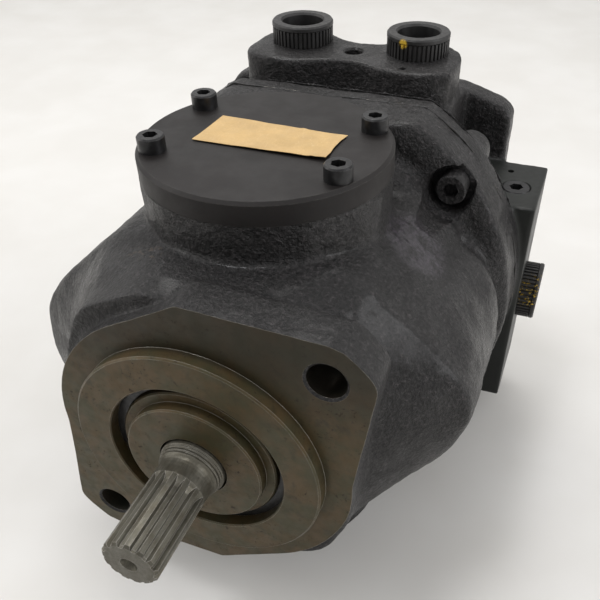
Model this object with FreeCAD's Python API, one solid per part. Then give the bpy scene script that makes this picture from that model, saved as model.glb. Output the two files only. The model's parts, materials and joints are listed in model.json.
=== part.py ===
import FreeCAD, Part
import math
import os

# Variable axial piston pump, millimetres.
# Origin: centre of the mounting flange's front face, on the shaft axis.
# -Y is the drive end (front), +Y the port block (rear), +Z up (round swashplate cover
# and outlets), +X right seen from the front.

Vector = FreeCAD.Vector
os.makedirs("parts", exist_ok=True)
SIDES = (-1, 1)

# ---- driving dimensions: mounting end ----
PILOT_R = 50.8            # SAE B pilot spigot
PILOT_H = 5.9
BOLT_XZ = 51.6            # two mounting holes on the 45 degree line, about 146 mm apart
MOUNT_HOLE_R = 7.15
FLANGE_T = 17.0
RECESS_R = 36.2           # recess in the pilot for the seal carrier
CARRIER_R = 36.05
HUB_R = 28.13
SEAL_BORE_R = 14.03
FRONT_BRG_R = 31.0        # front bearing seat in the housing

# ---- shaft ----
SHAFT_END = -54.0
SPLINE_R = 10.85
SPLINE_ROOT_R = 9.35
SPLINE_TEETH = 13
SHAFT_SEAL_R = 13.3
SHAFT_BRG_R = 15.0
DRIVE_TEETH = 18          # spline that drives the cylinder block
DRIVE_R, DRIVE_ROOT_R = 15.0, 13.2

# ---- swashplate barrel ----
PIVOT_Y = 78.3            # swashplate axis, parallel to Z
PIVOT = (0, PIVOT_Y)
BARREL_R = 48.4           # upright trunnion barrel and its round cover
COVER_Z0, COVER_Z1 = 83.0, 91.9
BARREL_BOTTOM = -97.0
TRUNNION_BORE_R = 33.0
SCREW_X, SCREW_DY = 36.0, 21.2
COVER_SCREW_R = 3.0

# ---- joint between housing and port block ----
RIM_R = 96.0
RIM_Y0, JOINT_Y = 127.0, 145.0
FLAT_TOP = 84.5
GASKET_T = 0.4
CASE_BOLT_X, CASE_BOLT_Z = 63.6, 59.7
CASE_BOLT_R = 4.0
DOWEL_X, DOWEL_Z, DOWEL_R = 35.0, 78.5, 4.0
DRAIN = (92.0, 2.0)       # case drain, (y, z)
DRAIN_R, DRAIN_FACE_X = 9.0, -96.0

# ---- port block ----
PB_Y0 = JOINT_Y + GASKET_T
PB_FL = 155.0             # back of the round flange
PB_Y1 = 202.0             # front of the rear plate
PB_Y2 = 216.0             # back face
BOSS_TOP = 91.5
PORT_X, PORT_Y, PORT_R = 28.9, 191.6, 12.2
PAD_X = 98.5
PAD_Z0, PAD_Z1 = -77.0, 40.0
PAD_PLUG = (86.4, 175.6)  # (x, y)
PAD_PLUG_R = 7.0
SIDE_PORT = (178.5, -18.5)                    # (y, z)
SUCT_Y, SUCT_Z, SUCT_R = 184.0, -90.0, 19.05
SUCT_SX, SUCT_SY = 69.9, 35.7                 # suction flange bolt spacing

# ---- rotating group and control ----
PITCH_R = 33.0            # piston pitch circle
PISTONS = 9
PISTON_R = 7.48
BLOCK_R = 45.0
BLOCK_Y0, BLOCK_Y1 = 104.0, 139.5
SWASH_FACE = 82.0
SLIPPER_Y = 93.4
BALL_Y = SLIPPER_Y + 6.2
SUCTION_SPAN = (200, 340)                     # kidney slots, degrees from +X towards +Z
PRESSURE_SPANS = [(20, 76), (104, 160)]
SUCTION_HALF, PRESSURE_HALF = 4.0, 3.2        # kidney half widths
PIN_X, PIN_R = -40.0, 2.0                     # valve plate pin
ARM_X = 60.0              # where the control and bias pistons act on the swashplate
CONTROL_BORE_R = 12.5
STOP_SCREW_R = 5.0
BIAS_PLUG_R = 14.0


# ---- helpers ----
def point(axis, height, first, second):
    """Point at height along axis; first and second are the other coordinates in x, y, z order."""
    if axis == "x":
        return Vector(height, first, second)
    if axis == "y":
        return Vector(first, height, second)
    return Vector(first, second, height)


def polar(radius, angle):
    return radius * math.cos(angle), radius * math.sin(angle)


def spread(count):
    """Equally spaced angles round a full turn."""
    return [2 * math.pi * i / count for i in range(count)]


def mirrored(points):
    """Points mirrored across x = 0, in reverse order."""
    return [(-x, other) for x, other in reversed(points)]


def cyl_y(radius, y0, y1, x=0.0, z=0.0):
    return Part.makeCylinder(radius, y1 - y0, Vector(x, y0, z), Vector(0, 1, 0))


def cyl_z(radius, z0, z1, x=0.0, y=0.0):
    return Part.makeCylinder(radius, z1 - z0, Vector(x, y, z0), Vector(0, 0, 1))


def cyl_x(radius, x0, x1, y=0.0, z=0.0):
    return Part.makeCylinder(radius, x1 - x0, Vector(x0, y, z), Vector(1, 0, 0))


def box(x0, x1, y0, y1, z0, z1):
    return Part.makeBox(x1 - x0, y1 - y0, z1 - z0, Vector(x0, y0, z0))


def above(z):
    """Block that trims the round joint flat at height z."""
    return box(-100, 100, 0, 200, z, 120)


def cut(shape, *tools):
    for tool in tools:
        shape = shape.cut(tool)
    return shape


def fuse(shape, *others):
    return shape.multiFuse(list(others)).removeSplitter()


def polygon_face(points):
    return Part.Face(Part.makePolygon(points + [points[0]]))


def turned(profile, axis="y", at=(0.0, 0.0)):
    """Solid of revolution. profile is closed, [(radius, height along the axis), ...]."""
    face = polygon_face([point(axis, height, at[0] + radius, at[1]) for radius, height in profile])
    solid = face.revolve(point(axis, 0, *at), point(axis, 1, 0, 0), 360)
    if solid.Volume < 0:
        solid.reverse()
    return solid


def ring(r_out, r_in, low, high, axis="y", at=(0.0, 0.0)):
    return turned([(r_in, low), (r_out, low), (r_out, high), (r_in, high)], axis, at)


def prism(outline, low, high, axis="y"):
    """Extrude an outline, given in the other two coordinates, along the axis."""
    face = polygon_face([point(axis, low, *corner) for corner in outline])
    return face.extrude(point(axis, high - low, 0, 0))


def hex_prism(across_flats, low, high, at, axis="y", turn=0.0):
    radius = across_flats / math.sqrt(3)
    corners = [polar(radius, turn + angle) for angle in spread(6)]
    return prism([(at[0] + a, at[1] + b) for a, b in corners], low, high, axis)


def smooth_wire(points):
    """Smooth closed curve through the points."""
    curve = Part.BSplineCurve()
    curve.interpolate(points, PeriodicFlag=True)
    return Part.Wire([curve.toShape()])


def toothed(count, tooth):
    """Closed toothed outline. tooth is [(radius, angle in pitches), ...]."""
    pitch = 2 * math.pi / count
    return [polar(radius, angle + share * pitch) for angle in spread(count)
            for radius, share in tooth]


def spline_outline(count, tip_r, root_r, tip=0.32, root=0.42):
    """External spline outline: tip and root are fractions of the pitch."""
    flank = 0.5 - root / 2
    return toothed(count, [(root_r, -flank), (tip_r, -tip / 2), (tip_r, tip / 2), (root_r, flank)])


def kidney(span, half_width, y0, y1):
    """Curved slot on the piston pitch circle, over a span in degrees."""
    start, end = [math.radians(angle) for angle in span]
    steps = 12
    fan = [(0, 0)] + [polar(80, start + (end - start) * i / steps) for i in range(steps + 1)]
    slot = ring(PITCH_R + half_width, PITCH_R - half_width, y0, y1)
    slot = slot.common(prism(fan, y0 - 1, y1 + 1))
    return fuse(slot, *[cyl_y(half_width, y0, y1, *polar(PITCH_R, a)) for a in (start, end)])


def save(name, *shapes):
    solids = [solid for shape in shapes for solid in shape.Solids]
    shape = solids[0] if len(solids) == 1 else Part.makeCompound(solids)
    shape.exportStep("parts/%s.step" % name)


# ---- body sections ----
SECTION_N = 48            # points on each lofted section


def ray_radius(outline, angle):
    """Distance from the origin to the outline in the direction of angle."""
    cos, sin = polar(1.0, angle)
    best = 0.0
    for (x0, z0), (x1, z1) in zip(outline, outline[1:] + outline[:1]):
        dx, dz = x1 - x0, z1 - z0
        cross = cos * dz - sin * dx
        if abs(cross) < 1e-12:
            continue
        distance = (x0 * dz - z0 * dx) / cross
        along = (x0 * sin - z0 * cos) / cross
        if distance > 0 and -1e-9 <= along <= 1 + 1e-9:
            best = max(best, distance)
    return best


def section(outline, y, grow=0.0, scale=1.0):
    """Smooth wire at y through the outline, its corners softened by two averaging passes."""
    radii = [ray_radius(outline, angle) for angle in spread(SECTION_N * 2)]
    for _ in range(2):
        radii = [(radii[i - 1] + 2 * radii[i] + radii[(i + 1) % len(radii)]) / 4
                 for i in range(len(radii))]
    return smooth_wire([point("y", y, *polar(radius * scale + grow, angle))
                        for radius, angle in zip(radii[::2], spread(SECTION_N))])


def loft(wires):
    """Ruled solid through the wires."""
    return Part.makeLoft(wires, True, True).Solids[0]


def flat_circle(radius, top):
    """Circle outline whose points above top are drawn in to it along their rays."""
    outline = []
    for x, z in [polar(radius, angle) for angle in spread(96)]:
        if z > top:
            x, z = x * (top / z), top
        outline.append((x, z))
    return outline


# Mounting flange outline, (x, z), the same after a half turn
flange_half = [
    (0.0, 69.5), (52.5, 67.0), (58.0, 65.4), (61.6, 62.2), (65.7, 58.2),
    (68.3, 54.6), (69.0, 51.5), (66.8, 37.5), (63.7, 19.2), (61.3, 3.0),
]
flange_half += [polar(61.3, math.radians(angle)) for angle in range(-5, -61, -5)]
FLANGE = flange_half + [(-x, -z) for x, z in flange_half]

# Body outlines, (x, z), from front to rear
NECK_RIGHT = [(20, -66), (47, -52), (58, -28), (58, 28), (47, 52), (20, 66)]
NECK = NECK_RIGHT + mirrored(NECK_RIGHT)
SHOULDER = [
    (96, 10), (93.5, 21), (90, 27.8), (75, 41.2), (46, 67.1), (-46, 67.1),
    (-75, 41.2), (-90, 27.8), (-96, 17), (-98.2, 8), (-98.4, -16), (-92, -30),
    (-50, -66), (30, -64), (50, -56), (66, -41), (80, -24), (90, -8),
]
MIDDLE = [
    (96, 10), (93.5, 21), (90, 27.8), (75, 41.2), (46, 67.1), (-46, 67.1),
    (-75, 41.2), (-90, 27.8), (-96, 17), (-98, 8), (-97, -18), (-90, -32),
    (-50, -76), (50, -75), (65, -58), (78, -39), (87, -27), (93.5, -10),
]
WAIST = [
    (94, 2), (91, 20), (84, 31), (71, 42.0), (50, 60), (-50, 60), (-71, 41),
    (-84, 30), (-92, 18), (-94, -8), (-91, -34), (-56, -79), (56, -79), (91, -34),
]
SWELL = [
    (95, 0), (92, 22), (84, 34), (70, 46.0), (52, 62), (-52, 62), (-70, 45),
    (-84, 34), (-92, 22), (-95, -5), (-91, -34), (-58, -79), (58, -79), (91, -34),
]
WALL = 10.0

outer = loft([
    section(NECK, 6),
    section(NECK, FLANGE_T, grow=1.5),
    section(SHOULDER, 42),
    section(MIDDLE, 62),
    section(WAIST, 95),
    section(SWELL, 111),
    section(flat_circle(87.0, 70.5), 123.5),
    section(flat_circle(89.0, 72.0), RIM_Y0 + 3),
])
cavity = loft([
    section(SHOULDER, 38, scale=0.70),
    section(SHOULDER, 50, grow=-10.5),
    section(MIDDLE, 64, grow=-WALL),
    section(WAIST, 95, grow=-WALL),
    section(flat_circle(77.0, 64.0), 128),
    section(flat_circle(76.5, 68.0), JOINT_Y + 1),
])

# ---- housing ----
CASE_BOLTS = [(sx * CASE_BOLT_X, sz * CASE_BOLT_Z) for sx in SIDES for sz in SIDES]
DOWELS = [(sx * DOWEL_X, DOWEL_Z) for sx in SIDES]

rim = turned([(0, 121.0), (86.0, 121.0), (94.6, 126.2), (RIM_R, 128.0),
              (RIM_R, JOINT_Y), (0, JOINT_Y)]).cut(above(FLAT_TOP))
envelope = fuse(outer, prism(FLANGE, 0, FLANGE_T), rim,
                cyl_z(BARREL_R, BARREL_BOTTOM, COVER_Z0, *PIVOT),
                cyl_y(PILOT_R, -PILOT_H, 1))
# bosses round the case bolts, inside the cavity
bolt_bosses = [cyl_y(14.4, 97, JOINT_Y, *at).common(envelope) for at in CASE_BOLTS]
housing = fuse(envelope.cut(cavity), cyl_x(14.0, DRAIN_FACE_X, -80.0, *DRAIN), *bolt_bosses)
# trunnion bores and the cover seat
housing = cut(housing,
              cyl_z(TRUNNION_BORE_R, 20, COVER_Z0 + 1, *PIVOT),
              cyl_z(BARREL_R + 0.6, COVER_Z0, COVER_Z0 + 8, *PIVOT),
              cyl_z(TRUNNION_BORE_R, BARREL_BOTTOM - 1, -20, *PIVOT))
# front bore: carrier recess, bearing seat, shoulder, circlip groove
housing = cut(housing,
              cyl_y(RECESS_R, -PILOT_H - 1, 10.0),
              cyl_y(FRONT_BRG_R, 9.0, 30.0),
              cyl_y(26.0, 29.0, 44.0),
              ring(RECESS_R + 1.7, RECESS_R - 1, -0.3, 1.6))
tools = [cyl_y(MOUNT_HOLE_R, -2, FLANGE_T + 3, s * BOLT_XZ, s * BOLT_XZ) for s in (1, -1)]
for sx in SIDES:
    for sy in SIDES:
        tools.append(cyl_z(COVER_SCREW_R, 66.0, COVER_Z0 + 1,
                           sx * SCREW_X, PIVOT_Y + sy * SCREW_DY))
    for sz in SIDES:
        at = (sx * CASE_BOLT_X, sz * CASE_BOLT_Z)
        tools.append(cyl_y(9.6, 99.0, 131.0, *at))
        tools.append(cyl_y(4.5, 130.0, JOINT_Y + 1, *at))
    tools.append(cyl_y(DOWEL_R, 136.0, JOINT_Y + 1, sx * DOWEL_X, DOWEL_Z))
# O-ring groove under the cover, circlip groove under the lower plug, case drain
tools += [
    ring(37.6, 34.4, COVER_Z0 - 2.2, COVER_Z0 + 1, "z", PIVOT),
    ring(TRUNNION_BORE_R + 1.6, TRUNNION_BORE_R - 1, -91.6, -89.8, "z", PIVOT),
    cyl_x(DRAIN_R, DRAIN_FACE_X - 1, -78.0, *DRAIN),
]
housing = cut(housing, *tools).removeSplitter().Solids[0]


def is_barrel_bottom(edge):
    bounds = edge.BoundBox
    return (bounds.ZMax < -90 and abs(bounds.ZMax - BARREL_BOTTOM) < 0.1
            and bounds.XLength > 90)


def round_barrel_bottom(shape):
    """Fillet the barrel's outer bottom edge with the largest radius that works."""
    edges = [edge for edge in shape.Edges if is_barrel_bottom(edge)]
    for radius in (3.0, 1.8, 1.05):
        # The kernel may refuse a radius; the next smaller one is then used.
        try:
            rounded = shape.makeFillet(radius, edges)
            if rounded.isValid() and rounded.Volume > 0 and len(rounded.Solids) == 1:
                return rounded.Solids[0]
        except Exception:
            pass
    return shape


save("housing", round_barrel_bottom(housing))

# ---- swashplate cover, screws, O-ring, label ----
SCREW_HEAD_R, SCREW_HEAD_H = 5.15, 5.8
LABEL = [(-26.0, 68.8), (27.4, 68.4), (26.9, 78.1),        # (x, y)
         (27.3, 85.2), (28.3, 90.3), (-24.9, 93.1)]

cover = fuse(turned([(0, COVER_Z0), (BARREL_R, COVER_Z0), (BARREL_R, COVER_Z1 - 1.2),
                     (BARREL_R - 1.2, COVER_Z1), (0, COVER_Z1)], "z", PIVOT),
             cyl_z(TRUNNION_BORE_R - 0.05, COVER_Z0 - 5.0, COVER_Z0 + 0.5, *PIVOT))
screws = []
for sx in SIDES:
    for sy in SIDES:
        at = (sx * SCREW_X, PIVOT_Y + sy * SCREW_DY)
        cover = cover.cut(cyl_z(3.3, COVER_Z0 - 1, COVER_Z1 + 1, *at))
        head = turned([(0, COVER_Z1), (SCREW_HEAD_R, COVER_Z1), (SCREW_HEAD_R, COVER_Z1 + 5.2),
                       (4.6, COVER_Z1 + SCREW_HEAD_H), (0, COVER_Z1 + SCREW_HEAD_H)], "z", at)
        screw = fuse(head, cyl_z(COVER_SCREW_R - 0.03, 68.0, COVER_Z1 + 0.5, *at))
        screws.append(screw.cut(hex_prism(5.0, COVER_Z1 + 2.8, COVER_Z1 + 7, at, "z",
                                          turn=0.2 * sx + 0.5 * sy)))
save("swashplate_cover", cover)
save("cover_screws", *screws)
save("cover_o_ring",
     Part.makeTorus(36.0, 1.05, Vector(0, PIVOT_Y, COVER_Z0 - 1.1), Vector(0, 0, 1)))
save("paper_label", prism(LABEL, COVER_Z1, COVER_Z1 + 0.25, "z"))

# ---- seal carrier, circlip, seal ----
CARRIER_STEP_R = 32.2
CLIP_OUT_R = RECESS_R + 1.5
CLIP_Y0, CLIP_Y1 = -0.2, 1.5
CLIP_ANGLE = math.radians(198.0)              # middle of the circlip's gap
LUG_ANGLES = [CLIP_ANGLE + s * math.radians(11.0) for s in SIDES]
LUG_PITCH_R = 33.2


def gap_corner(distance, offset):
    """Point out along the gap direction, offset sideways."""
    x, z = polar(distance, CLIP_ANGLE)
    return x + offset * math.sin(CLIP_ANGLE), z - offset * math.cos(CLIP_ANGLE)


carrier = turned([
    (SEAL_BORE_R, -7.5), (HUB_R - 0.6, -7.5), (HUB_R, -6.9), (HUB_R, -2.6), (31.6, -2.6),
    (CARRIER_STEP_R, -2.0), (CARRIER_STEP_R, -0.35), (CARRIER_R, -0.35), (CARRIER_R, 2.6),
    (CARRIER_R - 2.2, 2.6), (CARRIER_R - 2.2, 5.6), (CARRIER_R, 5.6), (CARRIER_R, 9.9),
    (21.0, 9.9), (21.0, 1.5), (SEAL_BORE_R, 1.5),
])
# the carrier's full radius starts behind the circlip
carrier = carrier.cut(ring(RECESS_R + 5, CARRIER_STEP_R, -0.6, 1.65))
clip = ring(CLIP_OUT_R, RECESS_R - 3.6, CLIP_Y0, CLIP_Y1)
clip = clip.cut(prism([gap_corner(20, -5), gap_corner(20, 5),
                       gap_corner(45, 5), gap_corner(45, -5)], -3, 3))
clip = fuse(clip, *[cyl_y(3.1, CLIP_Y0, CLIP_Y1, *polar(LUG_PITCH_R, a)) for a in LUG_ANGLES])
clip = clip.common(cyl_y(CLIP_OUT_R, -1, 2).cut(cyl_y(SEAL_BORE_R, -1.5, 2.5)))
for angle in LUG_ANGLES:
    clip = clip.cut(cyl_y(1.35, -2, 3, *polar(33.3, angle)))
    # room in the carrier's step for the lugs
    carrier = carrier.cut(cyl_y(3.4, -3, 1.65, *polar(LUG_PITCH_R, angle)))
save("seal_carrier_circlip", clip)
save("seal_carrier", carrier)
save("seal_carrier_o_ring",
     Part.makeTorus(CARRIER_R - 1.15, 0.95, Vector(0, 4.1, 0), Vector(0, 1, 0)))
save("shaft_lip_seal", turned([
    (13.6, 3.2), (14.6, 2.0), (20.9, 2.0), (20.9, 9.4), (18.9, 9.4), (18.9, 3.8),
    (15.2, 3.8), (14.4, 6.4), (13.45, 6.4),
]))

# ---- drive shaft ----
# (radius, y) from the drive end to the rear end
SHAFT_PROFILE = [
    (0, SHAFT_END), (SPLINE_ROOT_R - 1.0, SHAFT_END), (SPLINE_ROOT_R, SHAFT_END + 1.2),
    (SPLINE_ROOT_R, -24.4), (9.6, -22.9), (10.05, -21.6), (SPLINE_R, -20.3), (SPLINE_R, -16.8),
    (10.95, -15.2), (11.15, -14.0), (11.5, -13.0), (12.1, -12.1), (12.1, -11.2),
    (12.5, -10.9), (12.5, -9.9), (12.9, -9.5), (12.9, -9.0),
    (SHAFT_SEAL_R, -8.6), (SHAFT_SEAL_R, 10.2), (SHAFT_BRG_R, 11.5), (SHAFT_BRG_R, 30.2),
    (19.0, 30.2), (19.0, 36.0), (SHAFT_BRG_R, 38.0), (SHAFT_BRG_R, 101.6),
    (13.1, 103.6), (13.1, 137.6), (12.5, 139.0), (12.5, 168.0), (11.7, 168.8), (0, 168.8),
]
teeth = prism(spline_outline(SPLINE_TEETH, SPLINE_R, SPLINE_ROOT_R - 0.05, tip=0.38, root=0.32),
              SHAFT_END, -20.0)
# chamfer on the ends of the teeth
teeth = teeth.common(turned([
    (0, SHAFT_END - 1), (SPLINE_R - 1.0, SHAFT_END - 1), (SPLINE_R - 1.0, SHAFT_END),
    (SPLINE_R + 0.1, SHAFT_END + 1.1), (SPLINE_R + 0.1, -19.0), (0, -19.0),
]))
drive_teeth = prism(spline_outline(DRIVE_TEETH, DRIVE_R, DRIVE_ROOT_R), 105.0, 137.0)
centre_hole = turned([
    (0, SHAFT_END - 1), (3.4, SHAFT_END - 1), (3.4, SHAFT_END), (1.6, SHAFT_END + 2.6),
    (1.6, SHAFT_END + 6.0), (0, SHAFT_END + 7.0),
])
save("drive_shaft", fuse(turned(SHAFT_PROFILE), teeth, drive_teeth).cut(centre_hole))

# ---- front tapered roller bearing (30 x 62) ----
INNER_RING_R = SHAFT_BRG_R + 0.01
OUTER_RING_R = FRONT_BRG_R - 0.02
ROLLER_ANGLES = spread(14)
ROLLER_FRONT_R, ROLLER_REAR_R = 23.55, 22.62  # roller axis from the shaft axis
ROLLER_Y0, ROLLER_Y1 = 14.2, 27.2
ROLLER_L = math.hypot(ROLLER_REAR_R - ROLLER_FRONT_R, ROLLER_Y1 - ROLLER_Y0)


def roller_cone(angle, front_r, rear_r, length, axis_r=ROLLER_FRONT_R, y=ROLLER_Y0):
    """Cone on a roller's sloping axis, its front end at radius axis_r."""
    slope = point("y", ROLLER_Y1 - ROLLER_Y0, *polar(ROLLER_REAR_R - ROLLER_FRONT_R, angle))
    return Part.makeCone(front_r, rear_r, length, point("y", y, *polar(axis_r, angle)), slope)


save("front_bearing_outer_ring", turned([
    (27.4, 12.2), (OUTER_RING_R, 12.2), (OUTER_RING_R, 29.9), (26.4, 29.9),
]))
save("front_bearing_inner_ring", turned([
    (INNER_RING_R, 12.2), (20.6, 12.2), (21.4, 13.6), (19.55, 13.6), (18.75, 27.6),
    (20.2, 27.6), (20.2, 30.15), (INNER_RING_R, 30.15),
]))
save("front_bearing_rollers", *[roller_cone(a, 3.72, 3.55, ROLLER_L) for a in ROLLER_ANGLES])
cage = cut(ring(24.3, 22.6, 13.9, 27.4),
           *[roller_cone(a, 3.95, 3.8, ROLLER_L + 1.0, y=ROLLER_Y0 - 0.5)
             for a in ROLLER_ANGLES])
cage = fuse(cage, ring(24.3, 22.2, 12.9, 14.0), ring(23.9, 21.8, 27.3, 28.4))
# clear the end rings of the rollers too
save("front_bearing_cage", cage.cut(fuse(
    *[roller_cone(a, 3.95, 3.8, 13.4, axis_r=23.56, y=14.05) for a in ROLLER_ANGLES])))

# ---- rear bearing, 25 mm journal ----
save("rear_bearing_cup", ring(16.98, 15.0, 147.0, 167.0))
save("rear_bearing_needles", *[cyl_y(1.21, 148.0, 166.0, *polar(13.75, a)) for a in spread(20)])

# ---- swashplate ----
STUB_Z0, STUB_Z1 = 45.0, 58.0                 # trunnion pin stub in the swashplate boss
STUB_BORE_R = 10.0
WEAR_Y0 = SWASH_FACE - 2.0

arms = box(-68.0, 68.0, 68.0, 84.0, -13.0, 13.0).cut(cyl_y(47.0, 50, 90))
swash = fuse(cyl_y(48.0, 60.0, SWASH_FACE), arms,
             cyl_z(19.0, 44.0, STUB_Z1, *PIVOT), cyl_z(19.0, -STUB_Z1, -44.0, *PIVOT))
swash = cut(swash, cyl_y(24.0, 50, 100),
            ring(42.8, 23.0, WEAR_Y0, SWASH_FACE + 12),
            cyl_z(STUB_BORE_R, 44.5, 60, *PIVOT), cyl_z(STUB_BORE_R, -60, -44.5, *PIVOT))
save("swashplate", swash)
save("swashplate_wear_plate", ring(42.6, 24.4, WEAR_Y0, SWASH_FACE))

# ---- trunnion pins and their bearings ----
STUB_R = STUB_BORE_R - 0.01
PIN_PROFILE = [(0, STUB_Z0), (STUB_R, STUB_Z0), (STUB_R, STUB_Z1), (20.9, STUB_Z1),
               (20.9, 76.5), (0, 76.5)]
for name, side in (("upper", 1), ("lower", -1)):
    pin = turned([(radius, side * height) for radius, height in PIN_PROFILE], "z", PIVOT)
    save(name + "_trunnion_pin", pin)
    low, high = sorted((side * 59.0, side * 76.0))
    save(name + "_trunnion_bearing_ring",
         ring(TRUNNION_BORE_R - 0.02, 27.0, low, high, "z", PIVOT))
    centres = [polar(23.95, angle) for angle in spread(18)]
    save(name + "_trunnion_rollers",
         *[cyl_z(3.02, low + 1.0, high - 1.0, x, PIVOT_Y + y) for x, y in centres])

# ---- lower bore: plug, O-ring, circlip ----
PLUG_R = TRUNNION_BORE_R - 0.05
PLUG_GROOVE_R = TRUNNION_BORE_R - 2.3
LOWER_CLIP_R = TRUNNION_BORE_R + 1.5
LOWER_CLIP_Z0, LOWER_CLIP_Z1 = -91.5, -89.9
LOWER_LUG_X = 7.0

save("lower_trunnion_plug", turned([
    (0, -77.0), (PLUG_R, -77.0), (PLUG_R, -80.6), (PLUG_GROOVE_R, -80.6),
    (PLUG_GROOVE_R, -84.0), (PLUG_R, -84.0), (PLUG_R, -89.7), (12.0, -89.7),
    (12.0, -86.5), (0, -86.5),
], "z", PIVOT))
save("lower_plug_o_ring",
     Part.makeTorus(TRUNNION_BORE_R - 1.2, 0.98, Vector(0, PIVOT_Y, -82.3), Vector(0, 0, 1)))
clip = ring(LOWER_CLIP_R, TRUNNION_BORE_R - 3.2, LOWER_CLIP_Z0, LOWER_CLIP_Z1, "z", PIVOT)
clip = clip.cut(box(-6, 6, PIVOT_Y - 40, PIVOT_Y - 20, -95, -85))
clip = fuse(clip, *[cyl_z(3.2, LOWER_CLIP_Z0, LOWER_CLIP_Z1, s * LOWER_LUG_X, PIVOT_Y - 29.2)
                    for s in SIDES])
clip = clip.common(cyl_z(LOWER_CLIP_R, -92, -89, *PIVOT))
clip = cut(clip, *[cyl_z(1.3, -93, -88, s * LOWER_LUG_X, PIVOT_Y - 29.0) for s in SIDES])
save("lower_plug_circlip", clip)

# ---- cylinder block, pistons, slippers, retainer ----
SPRING_POCKET_Y = BLOCK_Y1 - 27.0             # front shoulder of the disc spring pocket
# (radius, y)
BLOCK_PROFILE = [
    (16.2, BLOCK_Y0), (BLOCK_R - 1, BLOCK_Y0), (BLOCK_R, BLOCK_Y0 + 1),
    (BLOCK_R, BLOCK_Y1 - 1), (BLOCK_R - 1, BLOCK_Y1), (20.5, BLOCK_Y1),
    (20.5, BLOCK_Y1 - 9.0), (15.2, BLOCK_Y1 - 9.0), (15.2, BLOCK_Y1 - 12.0),
    (20.5, BLOCK_Y1 - 12.0), (20.5, SPRING_POCKET_Y), (16.2, SPRING_POCKET_Y),
]
PISTON_PROFILE = [
    (0, 101.0), (3.4, 101.0), (3.4, 103.6), (PISTON_R - 0.8, 104.4), (PISTON_R, 105.2),
    (PISTON_R, 130.6), (PISTON_R - 0.6, 131.2), (4.4, 131.2), (4.4, 112.0),
    (1.0, 110.5), (1.0, 108.0), (0, 108.0),
]
# (radius, distance behind SLIPPER_Y)
SLIPPER_PROFILE = [
    (0.9, 0), (3.6, 0), (3.6, 0.6), (5.2, 0.6), (5.2, 0), (8.6, 0), (8.6, 3.5),
    (6.6, 3.6), (6.4, 8.6), (5.2, 8.6), (0.9, 8.6),
]

inner_teeth = ring(17.5, 10.0, BLOCK_Y0, BLOCK_Y0 + 8.5)
inner_teeth = inner_teeth.cut(prism(
    spline_outline(DRIVE_TEETH, DRIVE_R + 0.05, DRIVE_ROOT_R + 0.05),
    BLOCK_Y0 - 1, BLOCK_Y0 + 10))
retainer = ring(43.4, 22.0, SLIPPER_Y + 3.7, SLIPPER_Y + 6.2)
block_tools, pistons, slippers = [], [], []
for step in spread(PISTONS):
    angle = step + math.pi / 2
    at = polar(PITCH_R, angle)
    block_tools.append(cyl_y(PISTON_R + 0.02, BLOCK_Y0 - 1, BLOCK_Y1 - 7.0, *at))
    # kidney outlet of each bore
    for offset in (-0.085, 0.0, 0.085):
        block_tools.append(cyl_y(3.6, BLOCK_Y1 - 8.0, BLOCK_Y1 + 1,
                                 *polar(PITCH_R, angle + offset)))
    ball_centre = point("y", BALL_Y, *at)
    pistons.append(fuse(turned(PISTON_PROFILE, "y", at), Part.makeSphere(5.0, ball_centre),
                        cyl_y(3.4, SLIPPER_Y + 7.0, 102.0, *at)))
    slipper = turned([(radius, SLIPPER_Y + y) for radius, y in SLIPPER_PROFILE], "y", at)
    slipper = cut(slipper, Part.makeSphere(5.05, ball_centre),
                  cyl_y(4.2, SLIPPER_Y + 7.5, SLIPPER_Y + 12, *at))
    slippers.append(slipper.Solids[0])
    retainer = retainer.cut(cyl_y(6.9, SLIPPER_Y - 1, SLIPPER_Y + 12, *at))
save("cylinder_block", cut(fuse(turned(BLOCK_PROFILE), inner_teeth), *block_tools))
save("pistons", *pistons)
save("slippers", *slippers)
save("slipper_retainer", retainer)

guide = Part.makeSphere(21.9, Vector(0, 97.0, 0)).common(cyl_y(30, 93.0, 102.6))
save("retainer_ball_guide", cut(guide, cyl_y(SHAFT_BRG_R + 0.05, 80, 120),
                                ring(30.0, 21.95, SLIPPER_Y + 3.0, SLIPPER_Y + 7.0)))

# ---- stack of six disc springs behind the block's shoulder, leaning alternately ----
DISC_IN_R, DISC_OUT_R, DISC_T = 16.2, 20.2, 1.5
discs = []
for i in range(6):
    y = SPRING_POCKET_Y + 0.15 + 2.45 * i
    inner_y, outer_y = (y + 0.9, y) if i % 2 else (y, y + 0.9)
    discs.append(turned([(DISC_IN_R, inner_y), (DISC_OUT_R, outer_y),
                         (DISC_OUT_R, outer_y + DISC_T), (DISC_IN_R, inner_y + DISC_T)]))
save("block_spring", *discs)

# ---- valve plate and pin ----
save("valve_plate", cut(ring(44.0, 21.0, BLOCK_Y1 + 0.05, PB_Y0),
                        kidney(SUCTION_SPAN, SUCTION_HALF, 130, 150),
                        *[kidney(span, PRESSURE_HALF, 130, 150) for span in PRESSURE_SPANS],
                        cyl_y(PIN_R + 0.03, 130, 150, PIN_X, 0.0)))
save("valve_plate_pin", cyl_y(PIN_R, 141.0, 152.0, PIN_X, 0.0))

# ---- port block ----
# Outlet boss, (x, y): right half of its rear and front edges
BOSS_REAR = [(50.0, 171.0), (50.6, 184.0), (49.2, 196.0), (42.5, 204.6),
             (30.0, 208.2), (17.5, 205.0), (8.5, 198.6)]
BOSS_FRONT = [(8.0, 169.4), (17.0, 165.6), (27.0, 163.0), (36.0, 162.9), (45.0, 165.4)]
BOSS = (BOSS_REAR + [(0, 196.6)] + mirrored(BOSS_REAR)
        + mirrored(BOSS_FRONT) + [(0, 170.6)] + BOSS_FRONT)
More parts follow.
